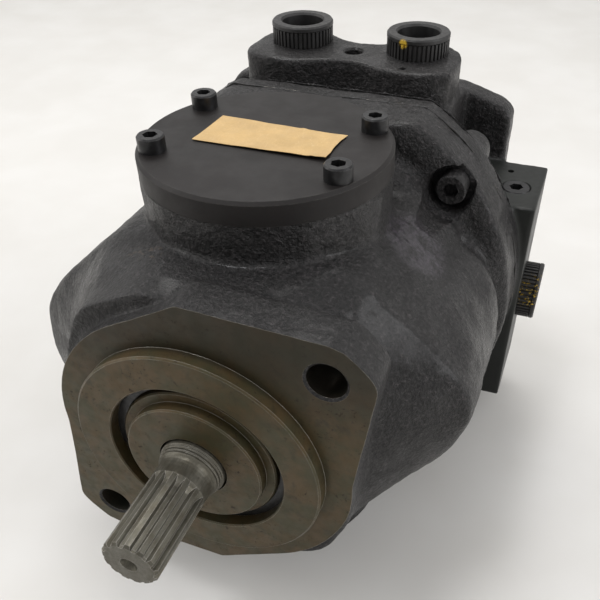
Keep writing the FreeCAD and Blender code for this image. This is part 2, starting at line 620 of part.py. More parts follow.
# Rear plate, (x, z): right half
PLATE_RIGHT = [(70.0, -77.0), (76.0, -70.0), (76.2, 58.5), (75.6, 62.3), (73.6, 65.2),
               (69.9, 67.6), (59.4, 70.8), (46.6, 73.6)]
PLATE = PLATE_RIGHT + [(0.0, 76.0)] + mirrored(PLATE_RIGHT)

boss_wire = smooth_wire([Vector(x, y, 30.0) for x, y in BOSS])
port_block = fuse(
    cyl_y(RIM_R, PB_Y0, PB_FL).cut(above(FLAT_TOP)),
    Part.Face(boss_wire).extrude(Vector(0, 0, BOSS_TOP - 30.0)),
    box(-52, 52, PB_FL - 1, 204, 0, 74.0),                      # ledge under the boss
    box(-62, 62, PB_FL - 1, PB_Y1 + 1, PAD_Z0, PAD_Z1),         # core
    box(58, PAD_X, PB_FL, PB_Y1, PAD_Z0, PAD_Z1),               # right pad
    box(-88, -58, PB_FL, PB_Y1, -74.0, PAD_Z1),                 # left side
    prism(PLATE, PB_Y1, PB_Y2),
    box(-47, 47, 158.0, 212.0, SUCT_Z, PAD_Z0 + 5),             # suction pad
    *[cyl_y(9.2, PB_FL - 1, 168.0, sx * CASE_BOLT_X, CASE_BOLT_Z) for sx in SIDES])
tools = [
    # rear end of the shaft and its bearing
    cyl_y(17.0, PB_Y0 - 1, 170.0),
    cyl_y(10.0, 168.0, 176.0),
    # suction: kidney to the vertical bore
    cyl_z(SUCT_R, SUCT_Z - 1, -24.0, 0, SUCT_Y),
    kidney(SUCTION_SPAN, SUCTION_HALF, PB_Y0 - 1, 172.0),
    kidney((215, 325), 7.0, 158.0, 184.0),
]
# pressure: two kidneys to two outlets
for span, sx in zip(PRESSURE_SPANS, (1, -1)):
    tools += [
        kidney(span, PRESSURE_HALF, PB_Y0 - 1, 190.0),
        cyl_z(PORT_R, 74.0, BOSS_TOP + 1, sx * PORT_X, PORT_Y),
        cyl_z(8.0, 24.0, 76.0, sx * PORT_X, PORT_Y),
    ]
tools += [
    # holes in the top of the boss and of the right pad
    cyl_z(4.25, BOSS_TOP - 18, BOSS_TOP + 1, 0, 183.0),
    cyl_z(1.5, BOSS_TOP - 8, BOSS_TOP + 1, 28.0, 168.5),
    cyl_z(1.6, PAD_Z1 - 8, PAD_Z1 + 1, 81.3, 191.3),
    cyl_z(PAD_PLUG_R, PAD_Z1 - 14, PAD_Z1 + 1, *PAD_PLUG),
    # side port
    cyl_x(PORT_R, PAD_X - 16, PAD_X + 1, *SIDE_PORT),
    cyl_x(4.0, 62.0, PAD_X - 10, *SIDE_PORT),
    cyl_y(PIN_R, PB_Y0 - 1, 152.5, PIN_X, 0.0),
]
for sx in SIDES:
    for sy in SIDES:
        tools.append(cyl_z(5.1, SUCT_Z - 1, SUCT_Z + 24,
                           sx * SUCT_SX / 2, SUCT_Y + sy * SUCT_SY / 2))
for sx in SIDES:
    for sz in SIDES:
        tools.append(cyl_y(CASE_BOLT_R, PB_Y0 - 1, 165.0, sx * CASE_BOLT_X, sz * CASE_BOLT_Z))
    tools.append(cyl_y(DOWEL_R, PB_Y0 - 1, 152.0, sx * DOWEL_X, DOWEL_Z))
# control piston sleeve bore, stop screw thread, bias spring bore and its plug
tools += [
    cyl_y(CONTROL_BORE_R, PB_Y0 - 1, 172.0, ARM_X, 0),
    cyl_y(STOP_SCREW_R, 171.0, PB_Y2 + 1, ARM_X, 0),
    cyl_y(CONTROL_BORE_R, PB_Y0 - 1, 200.0, -ARM_X, 0),
    cyl_y(BIAS_PLUG_R, 200.0, PB_Y2 + 1, -ARM_X, 0),
]
save("port_block", cut(port_block, *tools).removeSplitter().Solids[0])


# ---- knurled shipping caps ----
def cap():
    """Cap with its flange on z = 0, standing along +Z, stem below."""
    knurl = toothed(44, [(14.6, -0.25), (14.6, 0.25), (13.8, 0.38), (13.8, 0.62)])
    crown = turned([(0, 6.8), (14.0, 6.8), (14.75, 7.2), (14.75, 8.6), (14.2, 9.3),
                    (0, 9.3)], "z")
    body = fuse(prism(knurl, 0.0, 6.8, "z"), crown, cyl_z(PORT_R - 0.1, -12.0, 0.5))
    return body.cut(turned([(0, -10.0), (9.9, -10.0), (9.9, 8.3), (10.7, 9.4), (0, 9.4)], "z"))


for name, sx in (("left", -1), ("right", 1)):
    outlet_cap = cap()
    outlet_cap.translate(Vector(sx * PORT_X, PORT_Y, BOSS_TOP))
    save(name + "_outlet_cap", outlet_cap)
# the side port's cap has a slightly shorter stem
side_cap = cap().cut(cyl_z(20, -30, -11.4))
side_cap.rotate(Vector(0, 0, 0), Vector(0, 1, 0), 90)
side_cap.translate(Vector(PAD_X, *SIDE_PORT))
save("side_port_cap", side_cap)

# ---- plugs ----
pad_plug_r = PAD_PLUG_R - 0.05
pad_plug = turned([(0, PAD_Z1 - 10), (pad_plug_r, PAD_Z1 - 10), (pad_plug_r, PAD_Z1 - 0.8),
                   (6.2, PAD_Z1), (0, PAD_Z1)], "z", PAD_PLUG)
save("pad_plug", pad_plug.cut(hex_prism(6.0, PAD_Z1 - 5, PAD_Z1 + 1, PAD_PLUG, "z")))
drain_plug = turned([(0, -99.0), (10.4, -99.0), (11.0, -98.4), (11.0, DRAIN_FACE_X),
                     (DRAIN_R - 0.05, DRAIN_FACE_X), (DRAIN_R - 0.05, -82.0), (0, -82.0)],
                    "x", DRAIN)
save("case_drain_plug", drain_plug.cut(hex_prism(8.0, -100.0, -94.0, DRAIN, "x")))
save("bias_spring_plug", cyl_y(BIAS_PLUG_R - 0.05, 203.0, PB_Y2 - 0.5, -ARM_X, 0).cut(
    hex_prism(12.0, PB_Y2 - 7, PB_Y2 + 1, (-ARM_X, 0))))

# ---- case bolts, dowels, gasket ----
bolts = []
for at in CASE_BOLTS:
    head = turned([(0, 123.0), (6.0, 123.0), (6.6, 123.6), (6.6, 131.0), (0, 131.0)], "y", at)
    bolt = fuse(head, cyl_y(CASE_BOLT_R - 0.03, 130.5, 163.0, *at))
    bolts.append(bolt.cut(hex_prism(6.0, 118, 127.2, at)))
save("case_bolts", *bolts)
save("case_dowels", *[cyl_y(DOWEL_R - 0.02, 137.0, 151.5, *at) for at in DOWELS])
save("case_gasket", cut(cyl_y(RIM_R - 0.3, JOINT_Y, PB_Y0),
                        above(FLAT_TOP - 0.3), cyl_y(78.0, 140, 150),
                        *[cyl_y(4.7, 140, 150, *at) for at in CASE_BOLTS],
                        *[cyl_y(4.3, 140, 150, *at) for at in DOWELS]))


# ---- control piston and bias spring ----
def round_nosed(profile, x, radius, centre_y):
    """Turned piston at x with a spherical nose facing forwards."""
    nose = Part.makeSphere(radius, Vector(x, centre_y, 0))
    return fuse(turned(profile, "y", (x, 0)),
                nose.common(cyl_y(radius, 80.0, centre_y, x, 0)))


save("control_piston_sleeve", ring(CONTROL_BORE_R - 0.02, 10.0, 112.0, 171.5, "y", (ARM_X, 0)))
save("control_piston", round_nosed(
    [(0, 92.4), (9.96, 92.4), (9.96, 150.0), (9.3, 150.7), (0, 150.7)], ARM_X, 9.9, 94.3))
save("bias_plunger", round_nosed(
    [(0, 92.4), (9.0, 92.4), (9.0, 114.0), (11.8, 114.0), (11.8, 118.0), (6.6, 118.0),
     (6.6, 134.0), (0, 134.0)], -ARM_X, 9.0, 93.4))

COIL_R, WIRE_R, COIL_PITCH, COIL_L = 9.6, 1.7, 6.6, 80.0
helix = Part.makeHelix(COIL_PITCH, COIL_L, COIL_R)
wire_circle = Part.Wire([Part.makeCircle(WIRE_R, Vector(COIL_R, 0, 0), Vector(0, 1, 0))])
spring = Part.Wire(helix.Edges).makePipeShell([wire_circle], True, True).Solids[0]
spring.rotate(Vector(0, 0, 0), Vector(1, 0, 0), -90)
spring.translate(Vector(-ARM_X, 119.9, 0))
save("bias_spring", spring)

# ---- stroke limit screw and lock nut ----
save("stroke_limit_screw", cyl_y(STOP_SCREW_R - 0.03, 167.6, 230.0, ARM_X, 0).cut(
    hex_prism(5.0, 224.5, 231.0, (ARM_X, 0))))
save("stroke_limit_lock_nut", hex_prism(17.0, PB_Y2, PB_Y2 + 8.0, (ARM_X, 0)).cut(
    cyl_y(STOP_SCREW_R, 210, 240, ARM_X, 0)))
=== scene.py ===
import json
import math

import bpy
import bmesh
import numpy as np
from mathutils import Matrix, Vector, noise
from mathutils.bvhtree import BVHTree

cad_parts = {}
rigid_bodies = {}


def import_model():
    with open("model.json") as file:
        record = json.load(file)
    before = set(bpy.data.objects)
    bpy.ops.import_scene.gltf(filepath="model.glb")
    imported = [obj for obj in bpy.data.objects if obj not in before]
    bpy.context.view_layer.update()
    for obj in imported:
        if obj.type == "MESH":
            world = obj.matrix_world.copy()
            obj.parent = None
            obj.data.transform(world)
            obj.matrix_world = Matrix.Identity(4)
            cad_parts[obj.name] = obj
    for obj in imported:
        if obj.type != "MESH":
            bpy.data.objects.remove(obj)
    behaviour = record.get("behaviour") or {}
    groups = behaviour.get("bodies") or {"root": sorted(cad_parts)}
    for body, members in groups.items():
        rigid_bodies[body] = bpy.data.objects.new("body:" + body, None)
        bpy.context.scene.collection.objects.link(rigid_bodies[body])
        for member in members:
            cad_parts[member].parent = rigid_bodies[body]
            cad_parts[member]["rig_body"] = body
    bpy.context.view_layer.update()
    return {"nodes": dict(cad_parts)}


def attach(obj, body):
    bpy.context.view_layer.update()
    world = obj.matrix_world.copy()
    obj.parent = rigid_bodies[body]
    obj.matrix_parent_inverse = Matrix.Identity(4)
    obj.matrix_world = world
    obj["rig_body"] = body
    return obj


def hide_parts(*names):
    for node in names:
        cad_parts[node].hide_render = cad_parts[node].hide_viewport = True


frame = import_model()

nodes = frame["nodes"]
MM = 0.001
OIL_GLINT_PATCH = (58.5, 86.5, 54.5, 20.0)      # oily shoulder with painted glints: centre and reach, millimetres
SCENE = bpy.context.scene
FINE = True

# driving dimensions of the part, millimetres
PILOT_R, PILOT_H, BOLT_XZ, FLANGE_T = 50.8, 5.9, 51.6, 17.0
RECESS_R, PIVOT_Y, BARREL_R = 36.2, 78.3, 48.4
COVER_Z0, COVER_Z1, BARREL_BOTTOM = 83.0, 91.9, -97.0
RIM_R, RIM_Y0, JOINT_Y, FLAT_TOP = 96.0, 127.0, 145.0, 84.5
PB_Y0, PB_FL, PB_Y1, PB_Y2, BOSS_TOP = 145.4, 155.0, 202.0, 216.0, 91.5
PORT_X, PORT_Y, PORT_R = 28.9, 191.6, 12.2
PAD_X, PAD_Z0, PAD_Z1 = 98.5, -77.0, 40.0
CASE_BOLT_X, CASE_BOLT_Z = 63.6, 59.7


# ------------------------------------------------------------------ mesh code
def place(axis, at, u, v, h):
    if axis == "y":
        return (at[0] + u, h, at[1] + v)
    if axis == "z":
        return (at[0] + u, at[1] + v, h)
    return (h, at[0] + u, at[1] + v)


def lathe(profile, axis="y", at=(0.0, 0.0), n=96, phase=0.0):
    """Closed solid of revolution from [(r, h), ...]."""
    verts, rings, faces = [], [], []
    for r, h in profile:
        if r < 1e-9:
            rings.append([len(verts)])
            verts.append(place(axis, at, 0, 0, h))
        else:
            rings.append(list(range(len(verts), len(verts) + n)))
            for i in range(n):
                a = 2 * math.pi * i / n + phase
                verts.append(place(axis, at, r * math.cos(a), r * math.sin(a), h))
    m = len(profile)
    for k in range(m):
        a, b = rings[k], rings[(k + 1) % m]
        if len(a) == 1 and len(b) == 1:
            continue
        for i in range(n):
            j = (i + 1) % n
            if len(a) == 1:
                faces.append((a[0], b[i], b[j]))
            elif len(b) == 1:
                faces.append((a[i], b[0], a[j]))
            else:
                faces.append((a[i], b[i], b[j], a[j]))
    return verts, faces


def prism(points, axis, h0, h1):
    n = len(points)
    verts = [place(axis, (0, 0), u, v, h0) for u, v in points] + [place(axis, (0, 0), u, v, h1) for u, v in points]
    faces = [tuple(range(n)), tuple(range(n, 2 * n))]
    faces += [(i, (i + 1) % n, n + (i + 1) % n, n + i) for i in range(n)]
    return verts, faces


def block(x0, x1, y0, y1, z0, z1):
    return prism([(x0, y0), (x1, y0), (x1, y1), (x0, y1)], "z", z0, z1)


def join(*parts):
    verts, faces = [], []
    for v, f in parts:
        k = len(verts)
        verts += list(v)
        faces += [tuple(i + k for i in q) for q in f]
    return verts, faces


def build(name, part, scale=1.0):
    me = bpy.data.meshes.new(name)
    me.from_pydata([(p[0] * scale, p[1] * scale, p[2] * scale) for p in part[0]], [], part[1])
    me.update()
    bm = bmesh.new()
    bm.from_mesh(me)
    bmesh.ops.recalc_face_normals(bm, faces=bm.faces)
    bm.to_mesh(me)
    bm.free()
    o = bpy.data.objects.new(name, me)
    SCENE.collection.objects.link(o)
    return o


def drop(o):
    me = o.data
    bpy.data.objects.remove(o)
    if me.users == 0:
        bpy.data.meshes.remove(me)


def applied(o):
    """Replace o's mesh by its evaluated one and clear its modifiers."""
    dg = bpy.context.evaluated_depsgraph_get()
    me = bpy.data.meshes.new_from_object(o.evaluated_get(dg))
    old = o.data
    o.modifiers.clear()
    o.data = me
    if old.users == 0:
        bpy.data.meshes.remove(old)
    return o


def boolean(o, part, op):
    tool = build("tool", part)
    m = o.modifiers.new("b", "BOOLEAN")
    m.object, m.operation, m.solver = tool, op, "MANIFOLD"
    before = len(o.data.polygons)
    applied(o)
    drop(tool)
    print("boolean", op, before, "->", len(o.data.polygons))
    return o


def coords(me):
    co = np.empty(len(me.vertices) * 3, np.float32)
    me.vertices.foreach_get("co", co)
    return co.reshape(-1, 3).astype(np.float64)


def normals(me):
    co = np.empty(len(me.vertices) * 3, np.float32)
    me.vertex_normals.foreach_get("vector", co)
    return co.reshape(-1, 3).astype(np.float64)


def set_coords(me, co):
    me.vertices.foreach_set("co", co.astype(np.float32).ravel())
    me.update()


def remeshed(name, node, fillers, voxel):
    me = nodes[node].data.copy()
    bm = bmesh.new()
    bm.from_mesh(me)
    bmesh.ops.remove_doubles(bm, verts=bm.verts, dist=2e-6)
    bm.to_mesh(me)
    bm.free()
    set_coords(me, coords(me) * 1000.0)
    o = bpy.data.objects.new(name, me)
    SCENE.collection.objects.link(o)
    if fillers:
        f = build("fill", fillers)
        bm = bmesh.new()
        bm.from_mesh(o.data)
        bm.from_mesh(f.data)
        bm.to_mesh(o.data)
        bm.free()
        drop(f)
    m = o.modifiers.new("r", "REMESH")
    m.mode, m.voxel_size = "VOXEL", voxel
    applied(o)
    print("remeshed", name, len(o.data.vertices))
    return o


def relax(me, w, rounds, lam=0.5):
    """Laplacian smoothing; w is each vertex's share."""
    co = coords(me)
    e = np.empty(len(me.edges) * 2, np.int32)
    me.edges.foreach_get("vertices", e)
    a, b = e[0::2], e[1::2]
    n = len(co)
    deg = np.maximum(np.bincount(a, minlength=n) + np.bincount(b, minlength=n), 1)
    k = (lam * w)[:, None]
    for _ in range(rounds):
        s = np.empty_like(co)
        for c in range(3):
            s[:, c] = np.bincount(a, co[b, c], n) + np.bincount(b, co[a, c], n)
        co += k * (s / deg[:, None] - co)
    set_coords(me, co)


def outer_share(me, sealed, reach):
    """1 for vertices on the outside of the sealed shape, 0 inside its cavities."""
    bm = bmesh.new()
    bm.from_mesh(sealed.data)
    tree = BVHTree.FromBMesh(bm)
    bm.free()
    co = coords(me)
    out = np.zeros(len(co))
    for i, p in enumerate(co):
        hit = tree.find_nearest(p, reach)
        if hit[0] is not None:
            out[i] = 1.0
    return out


def lumps(me, w, layers):
    """Casting unevenness along the normals: layers of (size mm, height mm, seed)."""
    co, no = coords(me), normals(me)
    d = np.zeros(len(co))
    live = np.nonzero(w > 0.01)[0]
    for size, height, seed in layers:
        off = Vector((seed * 13.7, seed * 7.1, seed * 3.3))
        for i in live:
            d[i] += height * noise.noise(Vector(co[i]) / size + off)
    set_coords(me, co + no * (d * w)[:, None])


def ramp(x, a, b):
    t = np.clip((x - a) / (b - a), 0, 1)
    return t * t * (3 - 2 * t)


def finish_piece(o, replaces, body, sharp=32.0):
    me = o.data
    set_coords(me, coords(me) * MM)
    me.shade_smooth()
    me.set_sharp_from_angle(angle=math.radians(sharp))
    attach(o, body)
    if replaces:
        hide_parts(*replaces)
    return o


# ------------------------------------------------------------------ materials
class Graph:
    def __init__(self, name):
        self.m = bpy.data.materials.new(name)
        self.m.use_nodes = True
        self.t = self.m.node_tree
        self.t.nodes.clear()
        self.out = self.t.nodes.new("ShaderNodeOutputMaterial")
        self.b = self.t.nodes.new("ShaderNodeBsdfPrincipled")
        self.t.links.new(self.b.outputs[0], self.out.inputs[0])
        self.co = self.t.nodes.new("ShaderNodeTexCoord").outputs["Object"]

    def put(self, sock, v):
        if hasattr(v, "is_output"):
            self.t.links.new(v, sock)
        elif isinstance(v, (tuple, list)):
            sock.default_value = tuple(v) + ((1.0,) if len(v) == 3 and len(sock.default_value) == 4 else ())
        else:
            sock.default_value = v

    def noise(self, size_mm, detail=3.0, rough=0.5, vec=None, dist=0.0, colour=False):
        n = self.t.nodes.new("ShaderNodeTexNoise")
        self.put(n.inputs["Vector"], vec or self.co)
        n.inputs["Scale"].default_value = 1000.0 / size_mm
        n.inputs["Detail"].default_value = detail
        n.inputs["Roughness"].default_value = rough
        n.inputs["Distortion"].default_value = dist
        return n.outputs["Color" if colour else "Fac"]

    def cells(self, size_mm, feature="F1", vec=None, rand=1.0):
        n = self.t.nodes.new("ShaderNodeTexVoronoi")
        n.feature = feature
        self.put(n.inputs["Vector"], vec or self.co)
        n.inputs["Scale"].default_value = 1000.0 / size_mm
        n.inputs["Randomness"].default_value = rand
        return n.outputs["Distance"]

    def ramp(self, fac, *stops):
        n = self.t.nodes.new("ShaderNodeValToRGB")
        self.put(n.inputs[0], fac)
        el = n.color_ramp.elements
        while len(el) > 1:
            el.remove(el[-1])
        for k, (p, c) in enumerate(stops):
            e = el[0] if k == 0 else el.new(p)
            e.position = p
            e.color = (c, c, c, 1) if isinstance(c, (int, float)) else (*c, 1)
        return n.outputs[0]

    def mix(self, fac, a, b, mode="MIX"):
        n = self.t.nodes.new("ShaderNodeMix")
        n.data_type, n.blend_type = "RGBA", mode
        self.put(n.inputs[0], fac)
        self.put(n.inputs[6], a)
        self.put(n.inputs[7], b)
        return n.outputs[2]

    def math(self, op, a, b=0.0, c=0.0, clamp=False):
        n = self.t.nodes.new("ShaderNodeMath")
        n.operation, n.use_clamp = op, clamp
        self.put(n.inputs[0], a)
        self.put(n.inputs[1], b)
        self.put(n.inputs[2], c)
        return n.outputs[0]

    def span(self, v, a, b, lo=0.0, hi=1.0):
        n = self.t.nodes.new("ShaderNodeMapRange")
        n.clamp = True
        n.interpolation_type = "SMOOTHSTEP"
        self.put(n.inputs[0], v)
        for i, x in enumerate((a, b, lo, hi)):
            n.inputs[1 + i].default_value = x
        return n.outputs[0]

    def sep(self, vec=None):
        n = self.t.nodes.new("ShaderNodeSeparateXYZ")
        self.put(n.inputs[0], vec or self.co)
        return n.outputs

    def join(self, x, y, z):
        n = self.t.nodes.new("ShaderNodeCombineXYZ")
        for i, v in enumerate((x, y, z)):
            self.put(n.inputs[i], v)
        return n.outputs[0]

    def scaled(self, x, y, z, vec=None):
        n = self.t.nodes.new("ShaderNodeMapping")
        self.put(n.inputs[0], vec or self.co)
        n.inputs["Scale"].default_value = (x, y, z)
        return n.outputs[0]

    def normal_part(self, i):
        n = self.t.nodes.new("ShaderNodeNewGeometry")
        return self.sep(n.outputs["Normal"])[i]

    def pointy(self):
        return self.t.nodes.new("ShaderNodeNewGeometry").outputs["Pointiness"]

    def edge(self, radius_mm):
        """0 on flats, up to 1 where a bevel of this radius would turn the normal."""
        bv = self.t.nodes.new("ShaderNodeBevel")
        bv.samples = 4
        bv.inputs["Radius"].default_value = radius_mm * MM
        g = self.t.nodes.new("ShaderNodeNewGeometry")
        d = self.t.nodes.new("ShaderNodeVectorMath")
        d.operation = "DOT_PRODUCT"
        self.t.links.new(bv.outputs[0], d.inputs[0])
        self.t.links.new(g.outputs["Normal"], d.inputs[1])
        return self.span(d.outputs["Value"], 0.985, 0.80)

    def bump(self, height, strength, dist_mm, normal=None):
        n = self.t.nodes.new("ShaderNodeBump")
        n.inputs["Strength"].default_value = strength
        n.inputs["Distance"].default_value = dist_mm * MM
        self.put(n.inputs["Height"], height)
        if normal is not None:
            self.put(n.inputs["Normal"], normal)
        return n.outputs[0]

    def soft(self, radius_mm):
        n = self.t.nodes.new("ShaderNodeBevel")
        n.samples = 4
        n.inputs["Radius"].default_value = radius_mm * MM
        return n.outputs[0]

    def done(self, colour, rough, metal=0.0, normal=None, spec=0.5, coat=0.0, coat_rough=0.1, sheen=0.0, aniso=0.0):
        self.put(self.b.inputs["Base Color"], colour)
        self.put(self.b.inputs["Roughness"], rough)
        self.put(self.b.inputs["Metallic"], metal)
        self.put(self.b.inputs["Specular IOR Level"], spec)
        self.put(self.b.inputs["Coat Weight"], coat)
        self.put(self.b.inputs["Coat Roughness"], coat_rough)
        self.put(self.b.inputs["Sheen Weight"], sheen)
        self.put(self.b.inputs["Anisotropic"], aniso)
        if normal is not None:
            self.put(self.b.inputs["Normal"], normal)
        return self.m


def radial(g, cx=None, cz=None, cy=None):
    """Distance from a line parallel to Y (cx, cz) or to Z (cx, cy), metres."""
    s = g.sep()
    if cz is not None:
        u, v = g.math("SUBTRACT", s[0], cx), g.math("SUBTRACT", s[2], cz)
    else:
        u, v = g.math("SUBTRACT", s[0], cx), g.math("SUBTRACT", s[1], cy)
    return g.math("SQRT", g.math("ADD", g.math("MULTIPLY", u, u), g.math("MULTIPLY", v, v)))


def cast_paint(name, tint=(1.0, 1.0, 1.0)):
    """Black paint over sand-cast iron: an even coat with a coarse grain that sparkles where light grazes it; the bright
    specks in its colour, and the lighter violet specks on the oily shoulder, are painted glints.
    """
    g = Graph(name)
    base = g.mix(g.ramp(g.noise(38, 2, 0.5), (0.35, 0.0), (0.68, 1.0)),
                 tuple(0.0100 * t for t in tint), tuple(0.0142 * t for t in tint))
    fine = g.noise(1.5, 4, 0.75)
    # grain tone: darker flecks, and bright specks up to four times the base painted in as painted glints
    grain_and_glint_speck = g.ramp(fine, (0.38, (0.35, 0.35, 0.35)), (0.51, (0.95, 0.94, 0.94)), (0.60, (2.1, 2.0, 2.05)), (0.68, (4.4, 4.1, 4.2)))
    base = g.mix(1.0, base, grain_and_glint_speck, "MULTIPLY")
    dust = g.math("MULTIPLY", g.span(g.normal_part(2), 0.55, 1.0), g.ramp(g.noise(2.6, 5, 0.75), (0.50, 0.0), (0.76, 0.22)))
    base = g.mix(dust, base, (0.040, 0.037, 0.035))
    # a film of faintly violet oil on the shoulder beside the barrel, its lighter speckles painted glints
    s = g.sep()
    reach = g.math("SQRT", g.math("ADD", g.math("ADD",
                   g.math("POWER", g.math("SUBTRACT", s[0], OIL_GLINT_PATCH[0] * MM), 2.0),
                   g.math("POWER", g.math("SUBTRACT", s[1], OIL_GLINT_PATCH[1] * MM), 2.0)),
                   g.math("POWER", g.math("SUBTRACT", s[2], OIL_GLINT_PATCH[2] * MM), 2.0)))
    film = g.math("MULTIPLY", g.span(reach, OIL_GLINT_PATCH[3] * MM, 0.55 * OIL_GLINT_PATCH[3] * MM), g.ramp(g.noise(5.0, 3, 0.6), (0.34, 0.15), (0.56, 1.0)))
    # painted glints: lighter violet specks inside the oil patch
    base = g.mix(g.math("MULTIPLY", film, g.ramp(fine, (0.42, 0.15), (0.62, 0.9))), base, (0.052, 0.043, 0.056))
    # bare chips on the front-left shoulder
    chip_at = g.math("MULTIPLY", g.span(g.math("ABSOLUTE", g.math("SUBTRACT", s[0], -0.0305)), 0.0105, 0.006),
                     g.span(g.math("ABSOLUTE", g.math("SUBTRACT", s[1], 0.030)), 0.0050, 0.0020))
    chip = g.math("MULTIPLY", chip_at, g.ramp(g.noise(2.2, 4, 0.75), (0.55, 0.0), (0.60, 0.85)))
    base = g.mix(chip, base, (0.060, 0.047, 0.036))
    oil = g.ramp(g.noise(17, 2, 0.5), (0.40, 0.0), (0.66, 1.0))
    rough = g.math("ADD", g.span(oil, 0, 1, 0.50, 0.43), g.span(g.noise(0.9, 3, 0.6), 0.3, 0.7, -0.08, 0.10))
    h = g.math("ADD", g.math("MULTIPLY", fine, 0.90), g.math("MULTIPLY", g.noise(3.0, 3, 0.6), 0.80))
    pit = g.ramp(g.cells(2.0), (0.0, 0.0), (0.26, 1.0))
    h = g.math("ADD", h, g.math("MULTIPLY", pit, 0.30))
    n = g.bump(h, 1.0, 0.85)
    coat = g.math("ADD", g.span(oil, 0, 1, 0.08, 0.22), g.math("MULTIPLY", film, 0.40))
    return g.done(base, rough, 0.0, n, 0.30, coat, 0.16)


def machined_iron(name, axis="y", centre=(0.0, 0.0), base=(0.064, 0.051, 0.024), dark=(0.020, 0.016, 0.009), metal=0.35, rough=0.48):
    """Turned iron face with a dull olive film, dark stains and rust spots, and painted shade that darkens it towards
    the top.
    """
    g = Graph(name)
    if axis == "y":
        r = radial(g, centre[0], cz=centre[1])
    else:
        r = radial(g, centre[0], cy=centre[1])
    rr = g.join(g.math("MULTIPLY", r, 1.0), 0.0, 0.0)
    s = g.sep()
    # painted shade: weight that darkens the face from 14 mm up to 60 mm height, except the pilot's front face
    painted_top_shade = g.math("MULTIPLY", g.span(s[2], 0.014, 0.060), g.span(s[1], -0.003, -0.0005))
    rings = g.noise(0.35, 2, 0.6, vec=rr)
    wide = g.noise(2.2, 2, 0.5, vec=rr)
    brown, olive = (1.20 * base[0], 0.98 * base[1], 0.80 * base[2]), (0.80 * base[0], 0.90 * base[1], 0.84 * base[2])
    c = g.mix(g.ramp(g.noise(13, 4, 0.62), (0.40, 0.0), (0.60, 1.0)), olive, brown)
    c = g.mix(g.math("MULTIPLY", g.ramp(rings, (0.35, 0.0), (0.65, 1.0)), 0.10), c, tuple(1.5 * x for x in base))
    c = g.mix(g.math("MULTIPLY", g.ramp(wide, (0.35, 0.0), (0.65, 1.0)), 0.10), c, dark)
    stain = g.ramp(g.noise(6.0, 5, 0.7, dist=0.6), (0.52, 0.0), (0.68, 0.70))
    c = g.mix(stain, c, tuple(0.55 * x for x in base))
    spot = g.math("MULTIPLY", g.ramp(g.noise(2.0, 4, 0.72, dist=0.4), (0.575, 0.0), (0.64, 0.88)), g.ramp(g.noise(11, 2, 0.5), (0.44, 0.0), (0.60, 1.0)))
    c = g.mix(spot, c, (0.030, 0.018, 0.010))
    # painted shade laid over the upper part of the face
    c = g.mix(g.math("MULTIPLY", painted_top_shade, 0.72), c, tuple(0.16 * x for x in base))
    bright = g.math("MULTIPLY", g.edge(0.45), g.ramp(g.noise(4, 3, 0.6), (0.30, 0.35), (0.62, 1.0)))
    c = g.mix(bright, c, (0.36, 0.34, 0.30))
    ro = g.math("ADD", g.span(g.noise(5, 4, 0.6), 0.3, 0.7, rough - 0.07, rough + 0.10), g.math("MULTIPLY", spot, 0.25))
    ro = g.math("SUBTRACT", ro, g.math("MULTIPLY", bright, 0.15))
    h = g.math("ADD", g.math("MULTIPLY", rings, 0.5), g.math("MULTIPLY", g.noise(0.5, 3, 0.6), 0.35))
    h = g.math("SUBTRACT", h, g.math("MULTIPLY", spot, 0.4))
    n = g.bump(h, 0.35, 0.06, g.soft(0.35))
    return g.done(c, ro, metal, n, 0.5)


def smooth_paint(name, base=(0.0112, 0.0094, 0.0090), rough=0.52, film=(0.030, 0.027, 0.025), chip=(0.10, 0.095, 0.085)):
    """Thin black paint on a machined plate: nearly flat, faint tool marks, scuffs and dust."""
    g = Graph(name)
    c = g.mix(g.ramp(g.noise(30, 4, 0.55), (0.32, 0.0), (0.70, 1.0)), tuple(0.78 * x for x in base), tuple(1.22 * x for x in base))
    c = g.mix(g.ramp(g.noise(1.3, 5, 0.7), (0.55, 0.0), (0.80, 0.35)), c, film)
    scuff = g.math("MULTIPLY", g.ramp(g.noise(1.2, 3, 0.7, vec=g.scaled(0.12, 1.0, 1.0)), (0.60, 0.0), (0.72, 0.35)), g.ramp(g.noise(22, 2, 0.5), (0.50, 0.0), (0.62, 1.0)))
    c = g.mix(scuff, c, film)
    worn = g.math("MULTIPLY", g.edge(0.6), g.ramp(g.noise(2.6, 4, 0.7), (0.36, 0.10), (0.62, 0.9)))
    c = g.mix(worn, c, chip)
    ro = g.math("ADD", g.span(g.noise(11, 4, 0.6), 0.3, 0.7, rough - 0.06, rough + 0.08), g.math("MULTIPLY", scuff, 0.1))
    h = g.math("ADD", g.noise(0.8, 4, 0.65), g.math("MULTIPLY", g.noise(3.5, 2, 0.5), 0.8))
    n = g.bump(h, 0.30, 0.10, g.soft(0.5))
    return g.done(c, ro, 0.0, n, 0.26, 0.04, 0.3)


